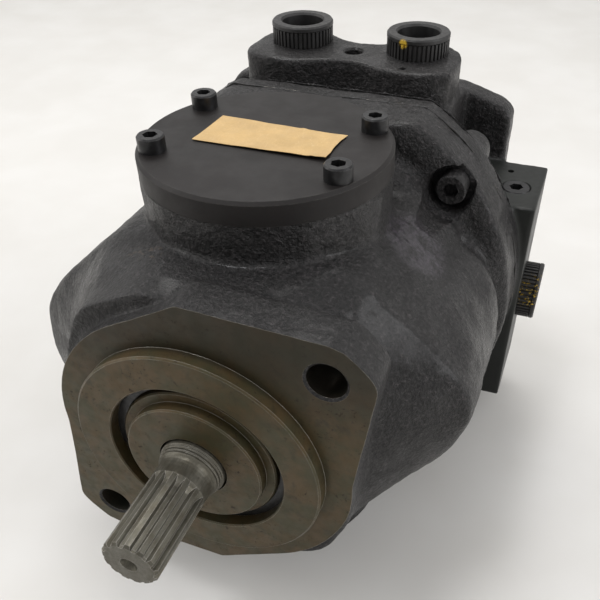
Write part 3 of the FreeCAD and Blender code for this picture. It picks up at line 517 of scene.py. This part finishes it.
def steel(name, base=(0.23, 0.215, 0.185), rough=0.30, streak=(1.0, 0.08, 1.0), dull=0.45, metal=0.95, rust=0.5):
    """Ground or hobbed steel, streaked along one direction, with an oily brown film."""
    g = Graph(name)
    v = g.scaled(*streak)
    s = g.noise(0.45, 3, 0.65, vec=v)
    c = g.mix(g.ramp(s, (0.30, 0.0), (0.70, 1.0)), tuple(dull * x for x in base), tuple(1.30 * x for x in base))
    film = g.ramp(g.noise(6.0, 4, 0.6), (0.42, 0.0), (0.68, 0.55))
    c = g.mix(film, c, (base[0] * 0.55, base[1] * 0.48, base[2] * 0.36))
    sp = g.ramp(g.noise(1.4, 4, 0.7), (0.66, 0.0), (0.76, rust))
    c = g.mix(sp, c, (0.050, 0.030, 0.017))
    bright = g.edge(0.35)
    c = g.mix(g.math("MULTIPLY", bright, 0.65), c, (0.52, 0.50, 0.46))
    ro = g.math("ADD", g.span(g.noise(2.0, 4, 0.6), 0.3, 0.7, rough - 0.06, rough + 0.12), g.math("MULTIPLY", sp, 0.3))
    n = g.bump(g.math("ADD", s, g.math("MULTIPLY", g.noise(0.6, 3, 0.6), 0.3)), 0.30, 0.05, g.soft(0.25))
    return g.done(c, ro, metal, n, 0.5, aniso=0.2)


def black_oxide(name, base=(0.021, 0.021, 0.022), rough=0.36):
    g = Graph(name)
    c = g.mix(g.ramp(g.noise(3.0, 4, 0.6), (0.35, 0.0), (0.70, 1.0)), tuple(0.65 * x for x in base), tuple(1.5 * x for x in base))
    sp = g.ramp(g.noise(1.0, 4, 0.7), (0.62, 0.0), (0.76, 0.6))
    c = g.mix(sp, c, (0.060, 0.044, 0.032))
    worn = g.math("MULTIPLY", g.edge(0.30), g.ramp(g.noise(1.6, 3, 0.7), (0.38, 0.15), (0.66, 0.9)))
    c = g.mix(worn, c, (0.17, 0.165, 0.155))
    ro = g.span(g.noise(1.6, 4, 0.65), 0.3, 0.7, rough - 0.08, rough + 0.12)
    n = g.bump(g.noise(0.5, 4, 0.6), 0.25, 0.05, g.soft(0.2))
    return g.done(c, ro, 0.55, n, 0.5, 0.10, 0.25)


def plastic(name, base=(0.014, 0.0135, 0.0135), rough=0.46, grain=0.35, dab=None):
    """Moulded plastic; dab is the place (x, y, z, reach, low, high) of some yellow marking paint, millimetres."""
    g = Graph(name)
    c = g.mix(g.ramp(g.noise(6, 4, 0.6), (0.36, 0.0), (0.68, 1.0)), tuple(0.75 * x for x in base), tuple(1.5 * x for x in base))
    dust = g.math("MULTIPLY", g.span(g.normal_part(2), 0.2, 1.0), g.ramp(g.noise(1.8, 5, 0.75), (0.50, 0.0), (0.74, 0.5)))
    c = g.mix(dust, c, (0.085, 0.080, 0.072))
    worn = g.math("MULTIPLY", g.edge(0.30), g.ramp(g.noise(1.8, 3, 0.7), (0.42, 0.1), (0.68, 0.7)))
    c = g.mix(worn, c, (0.075, 0.073, 0.070))
    if dab:
        v = g.t.nodes.new("ShaderNodeVectorMath")
        v.operation = "DISTANCE"
        g.put(v.inputs[0], g.co)
        v.inputs[1].default_value = tuple(k * MM for k in dab[:3])
        near = g.span(v.outputs["Value"], dab[3] * MM, 0.55 * dab[3] * MM)
        c = g.mix(g.math("MULTIPLY", near, g.ramp(g.noise(1.5, 4, 0.7), (dab[4], 0.0), (dab[5], 1.0))), c, (0.62, 0.40, 0.030))
    ro = g.span(g.noise(2.2, 4, 0.6), 0.3, 0.7, rough - 0.08, rough + 0.12)
    n = g.bump(g.noise(grain, 2, 0.5), 0.30, 0.04, g.soft(0.25))
    return g.done(c, ro, 0.0, n, 0.5)


def rubber(name):
    g = Graph(name)
    c = g.mix(g.ramp(g.noise(4, 4, 0.6), (0.35, 0.0), (0.68, 1.0)), (0.010, 0.010, 0.010), (0.026, 0.025, 0.024))
    c = g.mix(g.ramp(g.noise(0.9, 4, 0.7), (0.60, 0.0), (0.75, 0.4)), c, (0.055, 0.052, 0.047))
    return g.done(c, g.span(g.noise(1.5, 4, 0.6), 0.3, 0.7, 0.42, 0.62), 0.0, g.bump(g.noise(0.4, 3, 0.6), 0.3, 0.04), 0.45)


def bronze(name):
    g = Graph(name)
    c = g.mix(g.ramp(g.noise(5, 4, 0.6), (0.35, 0.0), (0.68, 1.0)), (0.30, 0.175, 0.065), (0.48, 0.31, 0.13))
    c = g.mix(g.ramp(g.noise(1.2, 4, 0.7), (0.62, 0.0), (0.76, 0.5)), c, (0.12, 0.065, 0.025))
    return g.done(c, g.span(g.noise(1.5, 4, 0.6), 0.3, 0.7, 0.26, 0.42), 0.95, g.bump(g.noise(0.5, 3, 0.6), 0.25, 0.04, g.soft(0.2)), 0.5)


def kraft(name, base=(0.52, 0.350, 0.152)):
    """Kraft tape: long fibres, mottling and soft creases."""
    g = Graph(name)
    fib = g.noise(0.42, 4, 0.7, vec=g.scaled(0.16, 1.0, 1.0), dist=1.2)
    fib2 = g.noise(0.55, 4, 0.7, vec=g.scaled(1.0, 0.22, 1.0), dist=1.5)
    c = g.mix(g.ramp(g.noise(9, 4, 0.55), (0.34, 0.0), (0.70, 1.0)), tuple(0.90 * x for x in base), tuple(1.07 * x for x in base))
    c = g.mix(g.ramp(fib, (0.50, 0.0), (0.72, 0.45)), c, tuple(0.66 * x for x in base))
    c = g.mix(g.ramp(fib2, (0.56, 0.0), (0.74, 0.35)), c, (0.86, 0.70, 0.44))
    c = g.mix(g.ramp(g.noise(0.9, 3, 0.6), (0.68, 0.0), (0.74, 0.5)), c, (0.30, 0.19, 0.085))
    wav = g.math("MULTIPLY", g.noise(14, 2, 0.4, vec=g.scaled(1.0, 0.5, 1.0)), 5.0)
    n = g.bump(g.math("ADD", g.math("ADD", fib, fib2), wav), 0.5, 0.10)
    return g.done(c, g.span(g.noise(4, 4, 0.6), 0.3, 0.7, 0.62, 0.80), 0.0, n, 0.35, sheen=0.05)


def gasket_mat(name):
    g = Graph(name)
    c = g.mix(g.ramp(g.noise(0.8, 4, 0.7), (0.35, 0.0), (0.68, 1.0)), (0.022, 0.021, 0.019), (0.060, 0.055, 0.045))
    return g.done(c, g.span(g.noise(2, 4, 0.6), 0.3, 0.7, 0.55, 0.8), 0.0, g.bump(g.noise(0.4, 3, 0.6), 0.5, 0.05), 0.3)


MAT = {
    "casting_paint": cast_paint("cast_black_paint", (1.04, 1.0, 1.0)),
    "machined_iron": machined_iron("turned_iron"),
    "cover_paint": smooth_paint("lid_paint"),
    "black_oxide": black_oxide("black_oxide_steel"),
    "shaft_steel": steel("oiled_shaft_steel", (0.112, 0.106, 0.086), 0.44, (1.0, 0.10, 1.0), 0.78, 0.75, 0.35),
    "bearing_steel": steel("bearing_steel_ground", (0.45, 0.44, 0.42), 0.20, (1.0, 1.0, 1.0), 0.75, 1.0, 0.15),
    "iron": steel("bare_cast_iron", (0.13, 0.125, 0.115), 0.48, (1.0, 1.0, 1.0), 0.6, 0.8, 0.6),
    "bronze": bronze("bronze_bearing"),
    "spring_steel": steel("spring_wire", (0.19, 0.185, 0.175), 0.34, (1.0, 1.0, 0.3), 0.6, 0.95, 0.3),
    "rubber": rubber("seal_rubber"),
    "black_plastic": plastic("cap_plastic"),
    "kraft_paper": kraft("kraft_tape"),
    "gasket_paper": gasket_mat("gasket_sheet"),
}
PAD_PAINT = smooth_paint("pad_face_paint", (0.0125, 0.0140, 0.0125), 0.42, (0.030, 0.031, 0.028), (0.10, 0.10, 0.09))
BORE_IRON = machined_iron("bored_iron", base=(0.050, 0.046, 0.038), dark=(0.018, 0.017, 0.014), metal=0.6, rough=0.45)

OWN = {"case_bolts": MAT["casting_paint"],
       "right_outlet_cap": plastic("cap_plastic_dabbed", dab=(25.2, 177.3, 98.6, 2.5, 0.34, 0.47)),
       "side_port_cap": plastic("cap_plastic_marked", dab=(105.8, 166.5, -12.0, 11.0, 0.57, 0.62))}
for name, o in nodes.items():
    for k, s in enumerate(o.material_slots):
        key = s.material.name.split(".")[0]
        o.data.materials[k] = OWN.get(name) or MAT.get(key, MAT["shaft_steel"])


# ------------------------------------------------------------------ housing casting
def outline_y():
    half = [(0.0, 69.5), (52.5, 67.0), (58.0, 65.4), (61.6, 62.2), (65.7, 58.2), (68.3, 54.6), (69.0, 51.5),
            (66.8, 37.5), (63.7, 19.2), (61.3, 3.0)]
    for a in range(-5, -61, -5):
        half.append((61.3 * math.cos(math.radians(a)), 61.3 * math.sin(math.radians(a))))
    return half + [(-x, -z) for x, z in half]


def bolt_spots():
    return [(sx * CASE_BOLT_X, sz * CASE_BOLT_Z) for sx in (-1, 1) for sz in (-1, 1)]


def rim_ring(r_in, y0, y1):
    """Ring of the round joint with its flat top, between y0 and y1."""
    v, f = lathe([(r_in, y0), (RIM_R, y0), (RIM_R, y1), (r_in, y1)], "y", n=180)
    return [(x, y, min(z, FLAT_TOP)) for x, y, z in v], f


def make_housing():
    voxel = 0.9 if FINE else 1.6
    fill = [prism(outline_y(), "y", -3.0, 2.0),
            lathe([(0, -3), (37.5, -3), (37.5, 10), (31.7, 10.5), (31.7, 29.5), (26.7, 30), (26.7, 37), (25.0, 38), (25.0, 43), (0, 43)], "y"),
            lathe([(0, 20), (32, 20), (32, 60), (34, 62), (34, 82), (BARREL_R, 82), (BARREL_R, 86.5), (0, 86.5)], "z", (0, PIVOT_Y)),
            lathe([(0, -20), (32, -20), (32, -64), (34, -66), (34, -95), (BARREL_R - 0.3, -95), (BARREL_R - 0.3, -100), (0, -100)], "z", (0, PIVOT_Y)),
            rim_ring(76.6, 144.0, 148.0),
            lathe([(0, -98.0), (9.5, -98.0), (9.5, -77.0), (0, -77.0)], "x", (92.0, 2.0))]
    for s in (1, -1):
        fill.append(lathe([(0, 1), (8, 1), (8, 20.6), (0, 20.6)], "y", (s * BOLT_XZ, s * BOLT_XZ), 48))
        for sy in (-1, 1):
            fill.append(lathe([(0, 65), (3.6, 65), (3.6, 84), (0, 84)], "z", (s * 36.0, PIVOT_Y + sy * 21.2), 24))
        fill.append(lathe([(0, 135), (4.6, 135), (4.6, 146), (0, 146)], "y", (s * 35.0, 78.5), 24))
    for x, z in bolt_spots():
        fill.append(lathe([(0, 131.5), (5.6, 131.5), (5.6, 146), (0, 146)], "y", (x, z), 32))
    o = remeshed("housing_casting", "housing", join(*fill), voxel)
    seal = remeshed("seal", "housing", join(*fill, lathe([(0, 138), (80, 138), (80, 147), (0, 147)], "y", n=96)), 2.4)
    me = o.data
    w = outer_share(me, seal, 3.0)
    drop(seal)
    co = coords(me)
    x, y, z = co.T
    # the flange's edge and the joint rim stay firmer than the body
    firm = 1.0 - 0.80 * (1 - ramp(y, 15.0, 24.0)) - 0.45 * ramp(y, 128.0, 131.0)
    r_b = np.hypot(x, y - PIVOT_Y)
    firm *= 1.0 - 0.85 * ((np.abs(z) > 78) & (r_b < 52))
    for bx, bz in bolt_spots():
        near = np.hypot(x - bx, z - bz)
        firm *= 1.0 - 0.88 * (1 - ramp(near, 9.7, 11.5)) * (y > 100)
    relax(me, w * firm, 17 if FINE else 6)
    keep = w * (1.0 - 0.6 * (1 - ramp(y, 14.0, 22.0)))
    lumps(me, keep, [(19.0, 0.45, 1), (6.5, 0.26, 2)] + ([(2.6, 0.15, 3)] if FINE else []))
    # the valley in front of the joint rim and the hollow left by a core print beside the bolt
    co, no = coords(me), normals(me)
    x, y, z = co.T
    turn = np.degrees(np.arctan2(z, np.abs(x)))
    valley = ramp(turn, 14, 30) * (1 - ramp(turn, 72, 84)) * ramp(np.hypot(x, z), 76, 84)
    d = -3.4 * valley * np.exp(-((y - 119.5) / 4.4) ** 2)
    q = np.stack([(x - 75.5) / 5.0, (y - 117.5) / 4.6, (z - 42.0) / 6.5], 1)
    d -= 3.0 * np.exp(-(q ** 2).sum(1))
    set_coords(me, co + no * (d * w)[:, None])
    # machined faces
    boolean(o, join(block(-120, 120, -12, 0, -120, 120), block(-120, 120, JOINT_Y, 160, -120, 120),
                    lathe([(0, COVER_Z0), (49.0, COVER_Z0), (49.0, 95), (0, 95)], "z", (0, PIVOT_Y), 160),
                    lathe([(0, BARREL_BOTTOM), (60, BARREL_BOTTOM), (60, -110), (0, -110)], "z", (0, PIVOT_Y), 96)), "DIFFERENCE")
    boolean(o, lathe([(20, 2.0), (PILOT_R, 2.0), (PILOT_R, -PILOT_H + 0.7), (PILOT_R - 0.7, -PILOT_H), (20, -PILOT_H)], "y", n=256), "UNION")
    cut = [lathe([(0, -9), (RECESS_R + 0.5, -9), (RECESS_R + 0.5, -PILOT_H - 0.02), (RECESS_R, -PILOT_H + 0.5), (RECESS_R, -0.3), (37.9, -0.3), (37.9, 1.6), (RECESS_R, 1.6),
                  (RECESS_R, 10), (31, 10), (31, 30), (26, 30), (26, 44.5), (0, 44.5)], "y", n=256),
           lathe([(0, 19.5), (33, 19.5), (33, COVER_Z0 - 2.2), (37.6, COVER_Z0 - 2.2), (37.6, 90), (0, 90)], "z", (0, PIVOT_Y), 160),
           lathe([(0, -19.5), (33, -19.5), (33, -89.8), (34.6, -89.8), (34.6, -91.6), (33, -91.6), (33, -96.2), (33.8, -105), (0, -105)], "z", (0, PIVOT_Y), 160),
           lathe([(0, -105.0), (9.0, -105.0), (9.0, -78.0), (0, -78.0)], "x", (92.0, 2.0), 48)]
    for s in (1, -1):
        cut.append(lathe([(0, -3), (8.1, -3), (8.1, -0.02), (7.15, 0.7), (7.15, 20), (0, 20)], "y", (s * BOLT_XZ, s * BOLT_XZ), 64))
        for sy in (-1, 1):
            cut.append(lathe([(0, 66), (3.0, 66), (3.0, 86), (0, 86)], "z", (s * 36.0, PIVOT_Y + sy * 21.2), 24))
        cut.append(lathe([(0, 136), (4.0, 136), (4.0, 150), (0, 150)], "y", (s * 35.0, 78.5), 32))
    for x0, z0 in bolt_spots():
        cut.append(lathe([(0, 99.0), (9.6, 99.0), (9.6, 131), (4.5, 131), (4.5, 150), (0, 150)], "y", (x0, z0), 64))
    boolean(o, join(*cut), "DIFFERENCE")
    me = o.data
    me.materials.clear()
    for m in (MAT["casting_paint"], MAT["machined_iron"], BORE_IRON, PAD_PAINT):
        me.materials.append(m)
    n = len(me.polygons)
    cen, nor = np.empty(n * 3, np.float32), np.empty(n * 3, np.float32)
    me.polygons.foreach_get("center", cen)
    me.polygons.foreach_get("normal", nor)
    cen, nor = cen.reshape(-1, 3), nor.reshape(-1, 3)
    x, y, z = cen.T
    r = np.hypot(x, z)
    rb = np.hypot(x, y - PIVOT_Y)
    idx = np.zeros(n, np.int32)
    idx[(np.abs(y) < 0.05) & (nor[:, 1] < -0.9)] = 1
    idx[(y < 0.9) & (r < 52)] = 1
    idx[(r < 38.5) & (y < 46)] = 1
    idx[(rb < 38.3) & (np.abs(z) > 20)] = 2
    idx[(np.abs(y - JOINT_Y) < 0.05)] = 2
    for s in (1, -1):
        idx[(np.hypot(x - s * BOLT_XZ, z - s * BOLT_XZ) < 7.5) & (y > 0.02) & (y < 20.5)] = 2
    idx[(np.abs(z - COVER_Z0) < 0.05) & (rb < 52)] = 3
    me.polygons.foreach_set("material_index", idx)
    finish_piece(o, ["housing"], frame_body("housing"), 34.0)
    return o


def frame_body(node):
    return nodes[node]["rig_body"]


# ------------------------------------------------------------------ port block casting
def make_port_block():
    voxel = 0.9 if FINE else 1.6
    fill = [lathe([(0, 70), (13.2, 70), (13.2, BOSS_TOP), (0, BOSS_TOP)], "z", (s * PORT_X, PORT_Y), 48) for s in (-1, 1)]
    fill += [lathe([(0, 72), (5.2, 72), (5.2, BOSS_TOP), (0, BOSS_TOP)], "z", (0, 183.0), 32),
             lathe([(0, 82), (2.3, 82), (2.3, BOSS_TOP), (0, BOSS_TOP)], "z", (28.0, 168.5), 24),
             lathe([(0, 30), (2.4, 30), (2.4, PAD_Z1), (0, PAD_Z1)], "z", (81.3, 191.3), 24),
             lathe([(0, 24), (7.8, 24), (7.8, PAD_Z1), (0, PAD_Z1)], "z", (86.4, 175.6), 32),
             lathe([(0, 80), (13.2, 80), (13.2, PAD_X), (0, PAD_X)], "x", (178.5, -18.5), 48),
             lathe([(0, -92.5), (20.2, -92.5), (20.2, -66), (0, -66)], "z", (0, 184.0), 64),
             lathe([(0, 196), (15, 196), (15, PB_Y2), (0, PB_Y2)], "y", (-60, 0), 48),
             lathe([(0, 174), (6, 174), (6, PB_Y2), (0, PB_Y2)], "y", (60, 0), 32),
             block(-47, 47, 158.0, 212.0, -92.5, -80.0)]
    for sx in (-34.95, 34.95):
        for sy in (-17.85, 17.85):
            fill.append(lathe([(0, -92.5), (6.0, -92.5), (6.0, -65), (0, -65)], "z", (sx, 184.0 + sy), 24))
    v, f = rim_ring(40.0, PB_Y0 - 2.5, PB_Y0 + 3.0)
    fill.append((v, f))
    o = remeshed("port_block_casting", "port_block", join(*fill), voxel)
    seal = remeshed("seal", "port_block", join(*fill, lathe([(0, 142.9), (60, 142.9), (60, 150), (0, 150)], "y", n=96)), 2.4)
    me = o.data
    w = outer_share(me, seal, 3.0)
    drop(seal)
    co = coords(me)
    x, y, z = co.T
    pad = ramp(x, 60, 70) * ramp(y, 152.5, 155.5) * (1 - ramp(z, 39, 41.5)) * (1 - ramp(y, 201.5, 203.0))
    firm = (1 - 0.93 * pad) * (1.0 - 0.35 * (1 - ramp(y, 153.5, 156.0)))
    firm *= 1 - 0.6 * ramp(z, 86.0, 90.0)
    firm *= 1 - 0.8 * (1 - ramp(z, -88.0, -82.0))
    relax(me, w * firm, 18 if FINE else 6)
    lumps(me, w * (1 - 0.93 * pad), [(17.0, 0.42, 5), (6.0, 0.26, 6)] + ([(2.6, 0.15, 7)] if FINE else []))
    boolean(o, join(block(-120, 120, 130, PB_Y0, -120, 120), block(-120, 120, PB_Y2 - 0.2, 230, -120, 120),
                    block(-120, 120, 150, 222, -120, -90)), "DIFFERENCE")
    cut = [lathe([(0, 60), (8.0, 60), (8.0, 76), (PORT_R, 76), (PORT_R, BOSS_TOP - 1.2), (PORT_R + 1.5, BOSS_TOP + 0.8), (PORT_R + 1.5, 96), (0, 96)], "z", (s * PORT_X, PORT_Y), 64) for s in (-1, 1)]
    cut += [lathe([(0, 73.5), (4.25, 73.5), (4.25, BOSS_TOP - 0.8), (5.6, BOSS_TOP + 0.6), (5.6, 96), (0, 96)], "z", (0, 183.0), 40),
            lathe([(0, 83.5), (1.5, 83.5), (1.5, 96), (0, 96)], "z", (28.0, 168.5), 24),
            lathe([(0, 32), (1.6, 32), (1.6, PAD_Z1 + 2), (0, PAD_Z1 + 2)], "z", (81.3, 191.3), 24),
            lathe([(0, 26), (7.0, 26), (7.0, PAD_Z1 - 0.5), (7.6, PAD_Z1 + 0.1), (7.6, PAD_Z1 + 3), (0, PAD_Z1 + 3)], "z", (86.4, 175.6), 48),
            lathe([(0, 82.5), (PORT_R, 82.5), (PORT_R, PAD_X + 3), (0, PAD_X + 3)], "x", (178.5, -18.5), 64),
            lathe([(0, -96), (20.0, -96), (19.05, -89.0), (19.05, -24.0), (0, -24.0)], "z", (0, 184.0), 96),
            lathe([(0, 203.0), (14.0, 203.0), (14.0, 220), (0, 220)], "y", (-60, 0), 64),
            lathe([(0, 168), (5.05, 168), (5.05, 220), (0, 220)], "y", (60, 0), 40),
            lathe([(0, 140), (17.0, 140), (17.0, 170), (0, 170)], "y", n=96)]
    for sx in (-34.95, 34.95):
        for sy in (-17.85, 17.85):
            cut.append(lathe([(0, -96), (5.8, -96), (5.1, -89.4), (5.1, -66), (0, -66)], "z", (sx, 184.0 + sy), 32))
    boolean(o, join(*cut), "DIFFERENCE")
    me = o.data
    me.materials.clear()
    for m in (MAT["casting_paint"], MAT["machined_iron"], BORE_IRON, PAD_PAINT):
        me.materials.append(m)
    n = len(me.polygons)
    cen, nor = np.empty(n * 3, np.float32), np.empty(n * 3, np.float32)
    me.polygons.foreach_get("center", cen)
    me.polygons.foreach_get("normal", nor)
    cen, nor = cen.reshape(-1, 3), nor.reshape(-1, 3)
    x, y, z = cen.T
    idx = np.zeros(n, np.int32)
    idx[(x > 66) & (y > 154.0) & (y < 203) & (z < 41) & (z > -78.5)] = 3
    idx[(np.abs(z + 90.0) < 0.05)] = 3
    for s in (-1, 1):
        idx[(np.hypot(x - s * PORT_X, y - PORT_Y) < PORT_R + 1.3) & (z > 50)] = 2
    idx[(np.hypot(x, y - 184.0) < 19.9) & (z < -20)] = 2
    idx[np.abs(y - PB_Y0) < 0.05] = 2
    me.polygons.foreach_set("material_index", idx)
    finish_piece(o, ["port_block"], frame_body("port_block"), 34.0)
    return o


housing = make_housing()
port_block = make_port_block()


# ------------------------------------------------------------------ sealant and label
def bead(name, y, r, low, high, seed):
    """Squeezed-out sealant along the round joint: an uneven tube that nearly dies away in places."""
    n, m = 900, 9
    verts, faces = [], []
    for i in range(n):
        a = 2 * math.pi * i / n
        cx, cz = r * math.cos(a), r * math.sin(a)
        out = (math.cos(a), math.sin(a))
        if cz > FLAT_TOP:
            cz, out = FLAT_TOP, (0.0, 1.0)
        p = Vector((cx * 0.16, cz * 0.16, seed))
        t = max(0.0, noise.noise(p) * 0.9 + noise.noise(p * 3.7) * 0.6 + 0.15)
        s = low + (high - low) * min(1.0, t)
        dy = 0.25 * noise.noise(p * 1.9)
        for j in range(m):
            b = 2 * math.pi * j / m
            k = s * (1 + 0.22 * noise.noise(Vector((i * 0.21, j * 0.9, seed))))
            verts.append((cx + out[0] * k * math.cos(b), y + dy + k * 0.85 * math.sin(b), cz + out[1] * k * math.cos(b)))
    for i in range(n):
        for j in range(m):
            i2, j2 = (i + 1) % n, (j + 1) % m
            faces.append((i * m + j, i2 * m + j, i2 * m + j2, i * m + j2))
    o = build(name, (verts, faces))
    return finish_piece(o, None, frame_body("housing"), 50.0)


def label_sheet():
    """Blank kraft tape: a thin sheet with a slow wave and one edge that has let go."""
    nu, nv = 56, 22
    left = [(-26.0, 68.8), (-24.9, 93.1)]
    right = [(27.4, 68.4), (26.9, 78.1), (27.3, 85.2), (28.3, 90.3)]
    tz = 0.13

    def spot(u, v):
        lx, ly = (left[0][i] * (1 - v) + left[1][i] * v for i in (0, 1))
        k = v * 3
        i = min(2, int(k))
        f = k - i
        rx, ry = (right[i][c] * (1 - f) + right[i + 1][c] * f for c in (0, 1))
        x, y = lx * (1 - u) + rx * u, ly * (1 - u) + ry * u
        lift = 0.75 * (1 - ramp(v, 0.0, 0.24)) * (0.35 + 0.65 * ramp(u, 0.15, 0.8))
        lift += 0.55 * ramp(u, 0.86, 1.0) * (1 - 0.4 * v)
        lift += 0.16 * (1 + noise.noise(Vector((x * 0.11, y * 0.13, 4.0))))
        lift += 0.28 * math.exp(-((x - 16 + 0.5 * (y - 80)) / 1.1) ** 2)
        return x, y, COVER_Z1 + 0.06 + float(lift)

    verts, faces = [], []
    for side in (0, 1):
        for i in range(nu + 1):
            for j in range(nv + 1):
                x, y, z = spot(i / nu, j / nv)
                verts.append((x, y, z + side * tz))
    w, k = nv + 1, (nu + 1) * (nv + 1)
    for i in range(nu):
        for j in range(nv):
            a = i * w + j
            faces += [(a, a + 1, a + w + 1, a + w), (k + a, k + a + w, k + a + w + 1, k + a + 1)]
    ring = [i * w for i in range(nu + 1)] + [nu * w + j for j in range(1, nv + 1)] + [i * w + nv for i in range(nu - 1, -1, -1)] + [j for j in range(nv - 1, 0, -1)]
    for a, b in zip(ring, ring[1:] + ring[:1]):
        faces.append((a, b, b + k, a + k))
    o = build("label_sheet", (verts, faces))
    o.data.materials.append(MAT["kraft_paper"])
    return finish_piece(o, ["paper_label"], frame_body("paper_label"), 40.0)


for o in (bead("joint_sealant", 145.2, 95.95, 0.12, 0.80, 3.0), bead("flange_edge_flash", 154.6, 95.85, 0.10, 0.70, 8.0)):
    o.data.materials.append(MAT["rubber"] if "seal" in o.name else MAT["casting_paint"])
label_sheet()


# ------------------------------------------------------------------ floor, light, camera
def floor():
    g = Graph("studio_floor")
    c = g.mix(g.ramp(g.noise(60, 3, 0.5), (0.35, 0.0), (0.7, 1.0)), (0.655, 0.643, 0.617), (0.690, 0.681, 0.660))
    g.done(c, 0.75, 0.0, g.bump(g.noise(3, 3, 0.5), 0.06, 0.2), 0.25)
    s, z = 3.0, (BARREL_BOTTOM - 0.05) * MM
    n = 24
    verts = [((i / n - 0.5) * 2 * s, (j / n - 0.5) * 2 * s, z) for j in range(n + 1) for i in range(n + 1)]
    faces = [(j * (n + 1) + i, j * (n + 1) + i + 1, (j + 1) * (n + 1) + i + 1, (j + 1) * (n + 1) + i) for j in range(n) for i in range(n)]
    me = bpy.data.meshes.new("floor")
    me.from_pydata(verts, [], faces)
    me.materials.append(g.m)
    o = bpy.data.objects.new("floor", me)
    SCENE.collection.objects.link(o)
    return o


ground = floor()


def area(name, loc, target, size, power, colour=(1, 1, 1), size_y=None):
    li = bpy.data.lights.new(name, "AREA")
    li.energy, li.color, li.size = power, colour, size
    if size_y:
        li.shape, li.size_y = "RECTANGLE", size_y
    o = bpy.data.objects.new(name, li)
    o.location = loc
    o.rotation_euler = (Vector(target) - Vector(loc)).to_track_quat("-Z", "Y").to_euler()
    SCENE.collection.objects.link(o)
    return o


centre = (0.0, 0.09, 0.0)
area("key_top", (-0.30, 0.70, 1.25), centre, 0.80, 7.6, (1.0, 0.985, 0.96))
area("ceiling", (-0.28, -0.12, 1.30), centre, 0.30, 5.0, (0.97, 0.97, 1.0))
area("fill_left", (-1.30, -0.30, 0.70), centre, 0.8, 6.0, (1.0, 0.98, 0.95))
area("fill_right", (1.30, 0.05, 0.60), centre, 0.8, 8.0, (0.98, 0.98, 1.0))
world = bpy.data.worlds.new("studio")
SCENE.world = world
world.use_nodes = True
wt = world.node_tree
bg = wt.nodes["Background"]
tc = wt.nodes.new("ShaderNodeTexCoord")
sp = wt.nodes.new("ShaderNodeSeparateXYZ")
wt.links.new(tc.outputs["Generated"], sp.inputs[0])


def wmath(op, p, q=0.0):
    n = wt.nodes.new("ShaderNodeMath")
    n.operation = op
    for i, v in enumerate((p, q)):
        if hasattr(v, "is_output"):
            wt.links.new(v, n.inputs[i])
        else:
            n.inputs[i].default_value = v
    return n.outputs[0]


# a room that is bright at the sides and overhead and dim where the camera stands
side = wmath("MULTIPLY", wmath("ABSOLUTE", sp.outputs[0]), 0.42)
rear = wmath("MULTIPLY", wmath("MAXIMUM", sp.outputs[1], 0.0), 0.25)
high = wmath("MULTIPLY", wmath("MAXIMUM", sp.outputs[2], 0.0), 0.46)
wt.links.new(wmath("ADD", wmath("ADD", side, rear), wmath("ADD", high, 0.13)), bg.inputs[1])
bg.inputs[0].default_value = (1.0, 0.99, 0.98, 1)

cam = bpy.data.cameras.new("camera")
cam.sensor_width, cam.lens = 36.0, 43.06
cam.clip_start, cam.clip_end = 0.01, 20.0
co = bpy.data.objects.new("camera", cam)
SCENE.collection.objects.link(co)
a, e, r = math.radians(20.008), math.radians(43.322), math.radians(-0.611)
back = Vector((math.sin(a) * math.cos(e), -math.cos(a) * math.cos(e), math.sin(e)))
right = Vector((math.cos(a), math.sin(a), 0.0))
up = back.cross(right)
right2 = math.cos(r) * right + math.sin(r) * up
up2 = -math.sin(r) * right + math.cos(r) * up
co.matrix_world = Matrix(((right2.x, up2.x, back.x, 0.11102), (right2.y, up2.y, back.y, -0.15901), (right2.z, up2.z, back.z, 0.20628), (0, 0, 0, 1)))
SCENE.camera = co
# the main view's optical centre is off the middle; from farther off it is centred.
# A plain driver curve: distance from the floor's origin in, lens shift out.
for prop, val in (("shift_x", -0.0509), ("shift_y", 0.1589)):
    curve = cam.driver_add(prop)
    curve.driver.type = "SUM"
    v = curve.driver.variables.new()
    v.name, v.type = "reach", "LOC_DIFF"
    v.targets[0].id, v.targets[1].id = co, ground
    for m in list(curve.modifiers):
        curve.modifiers.remove(m)
    for reach, share in ((0.0, 1.0), (0.32, 1.0), (0.35, 0.0)):
        curve.keyframe_points.insert(reach, share * val).interpolation = "LINEAR"
    curve.extrapolation = "CONSTANT"

SCENE.view_settings.view_transform = "Standard"

bpy.context.view_layer.update()
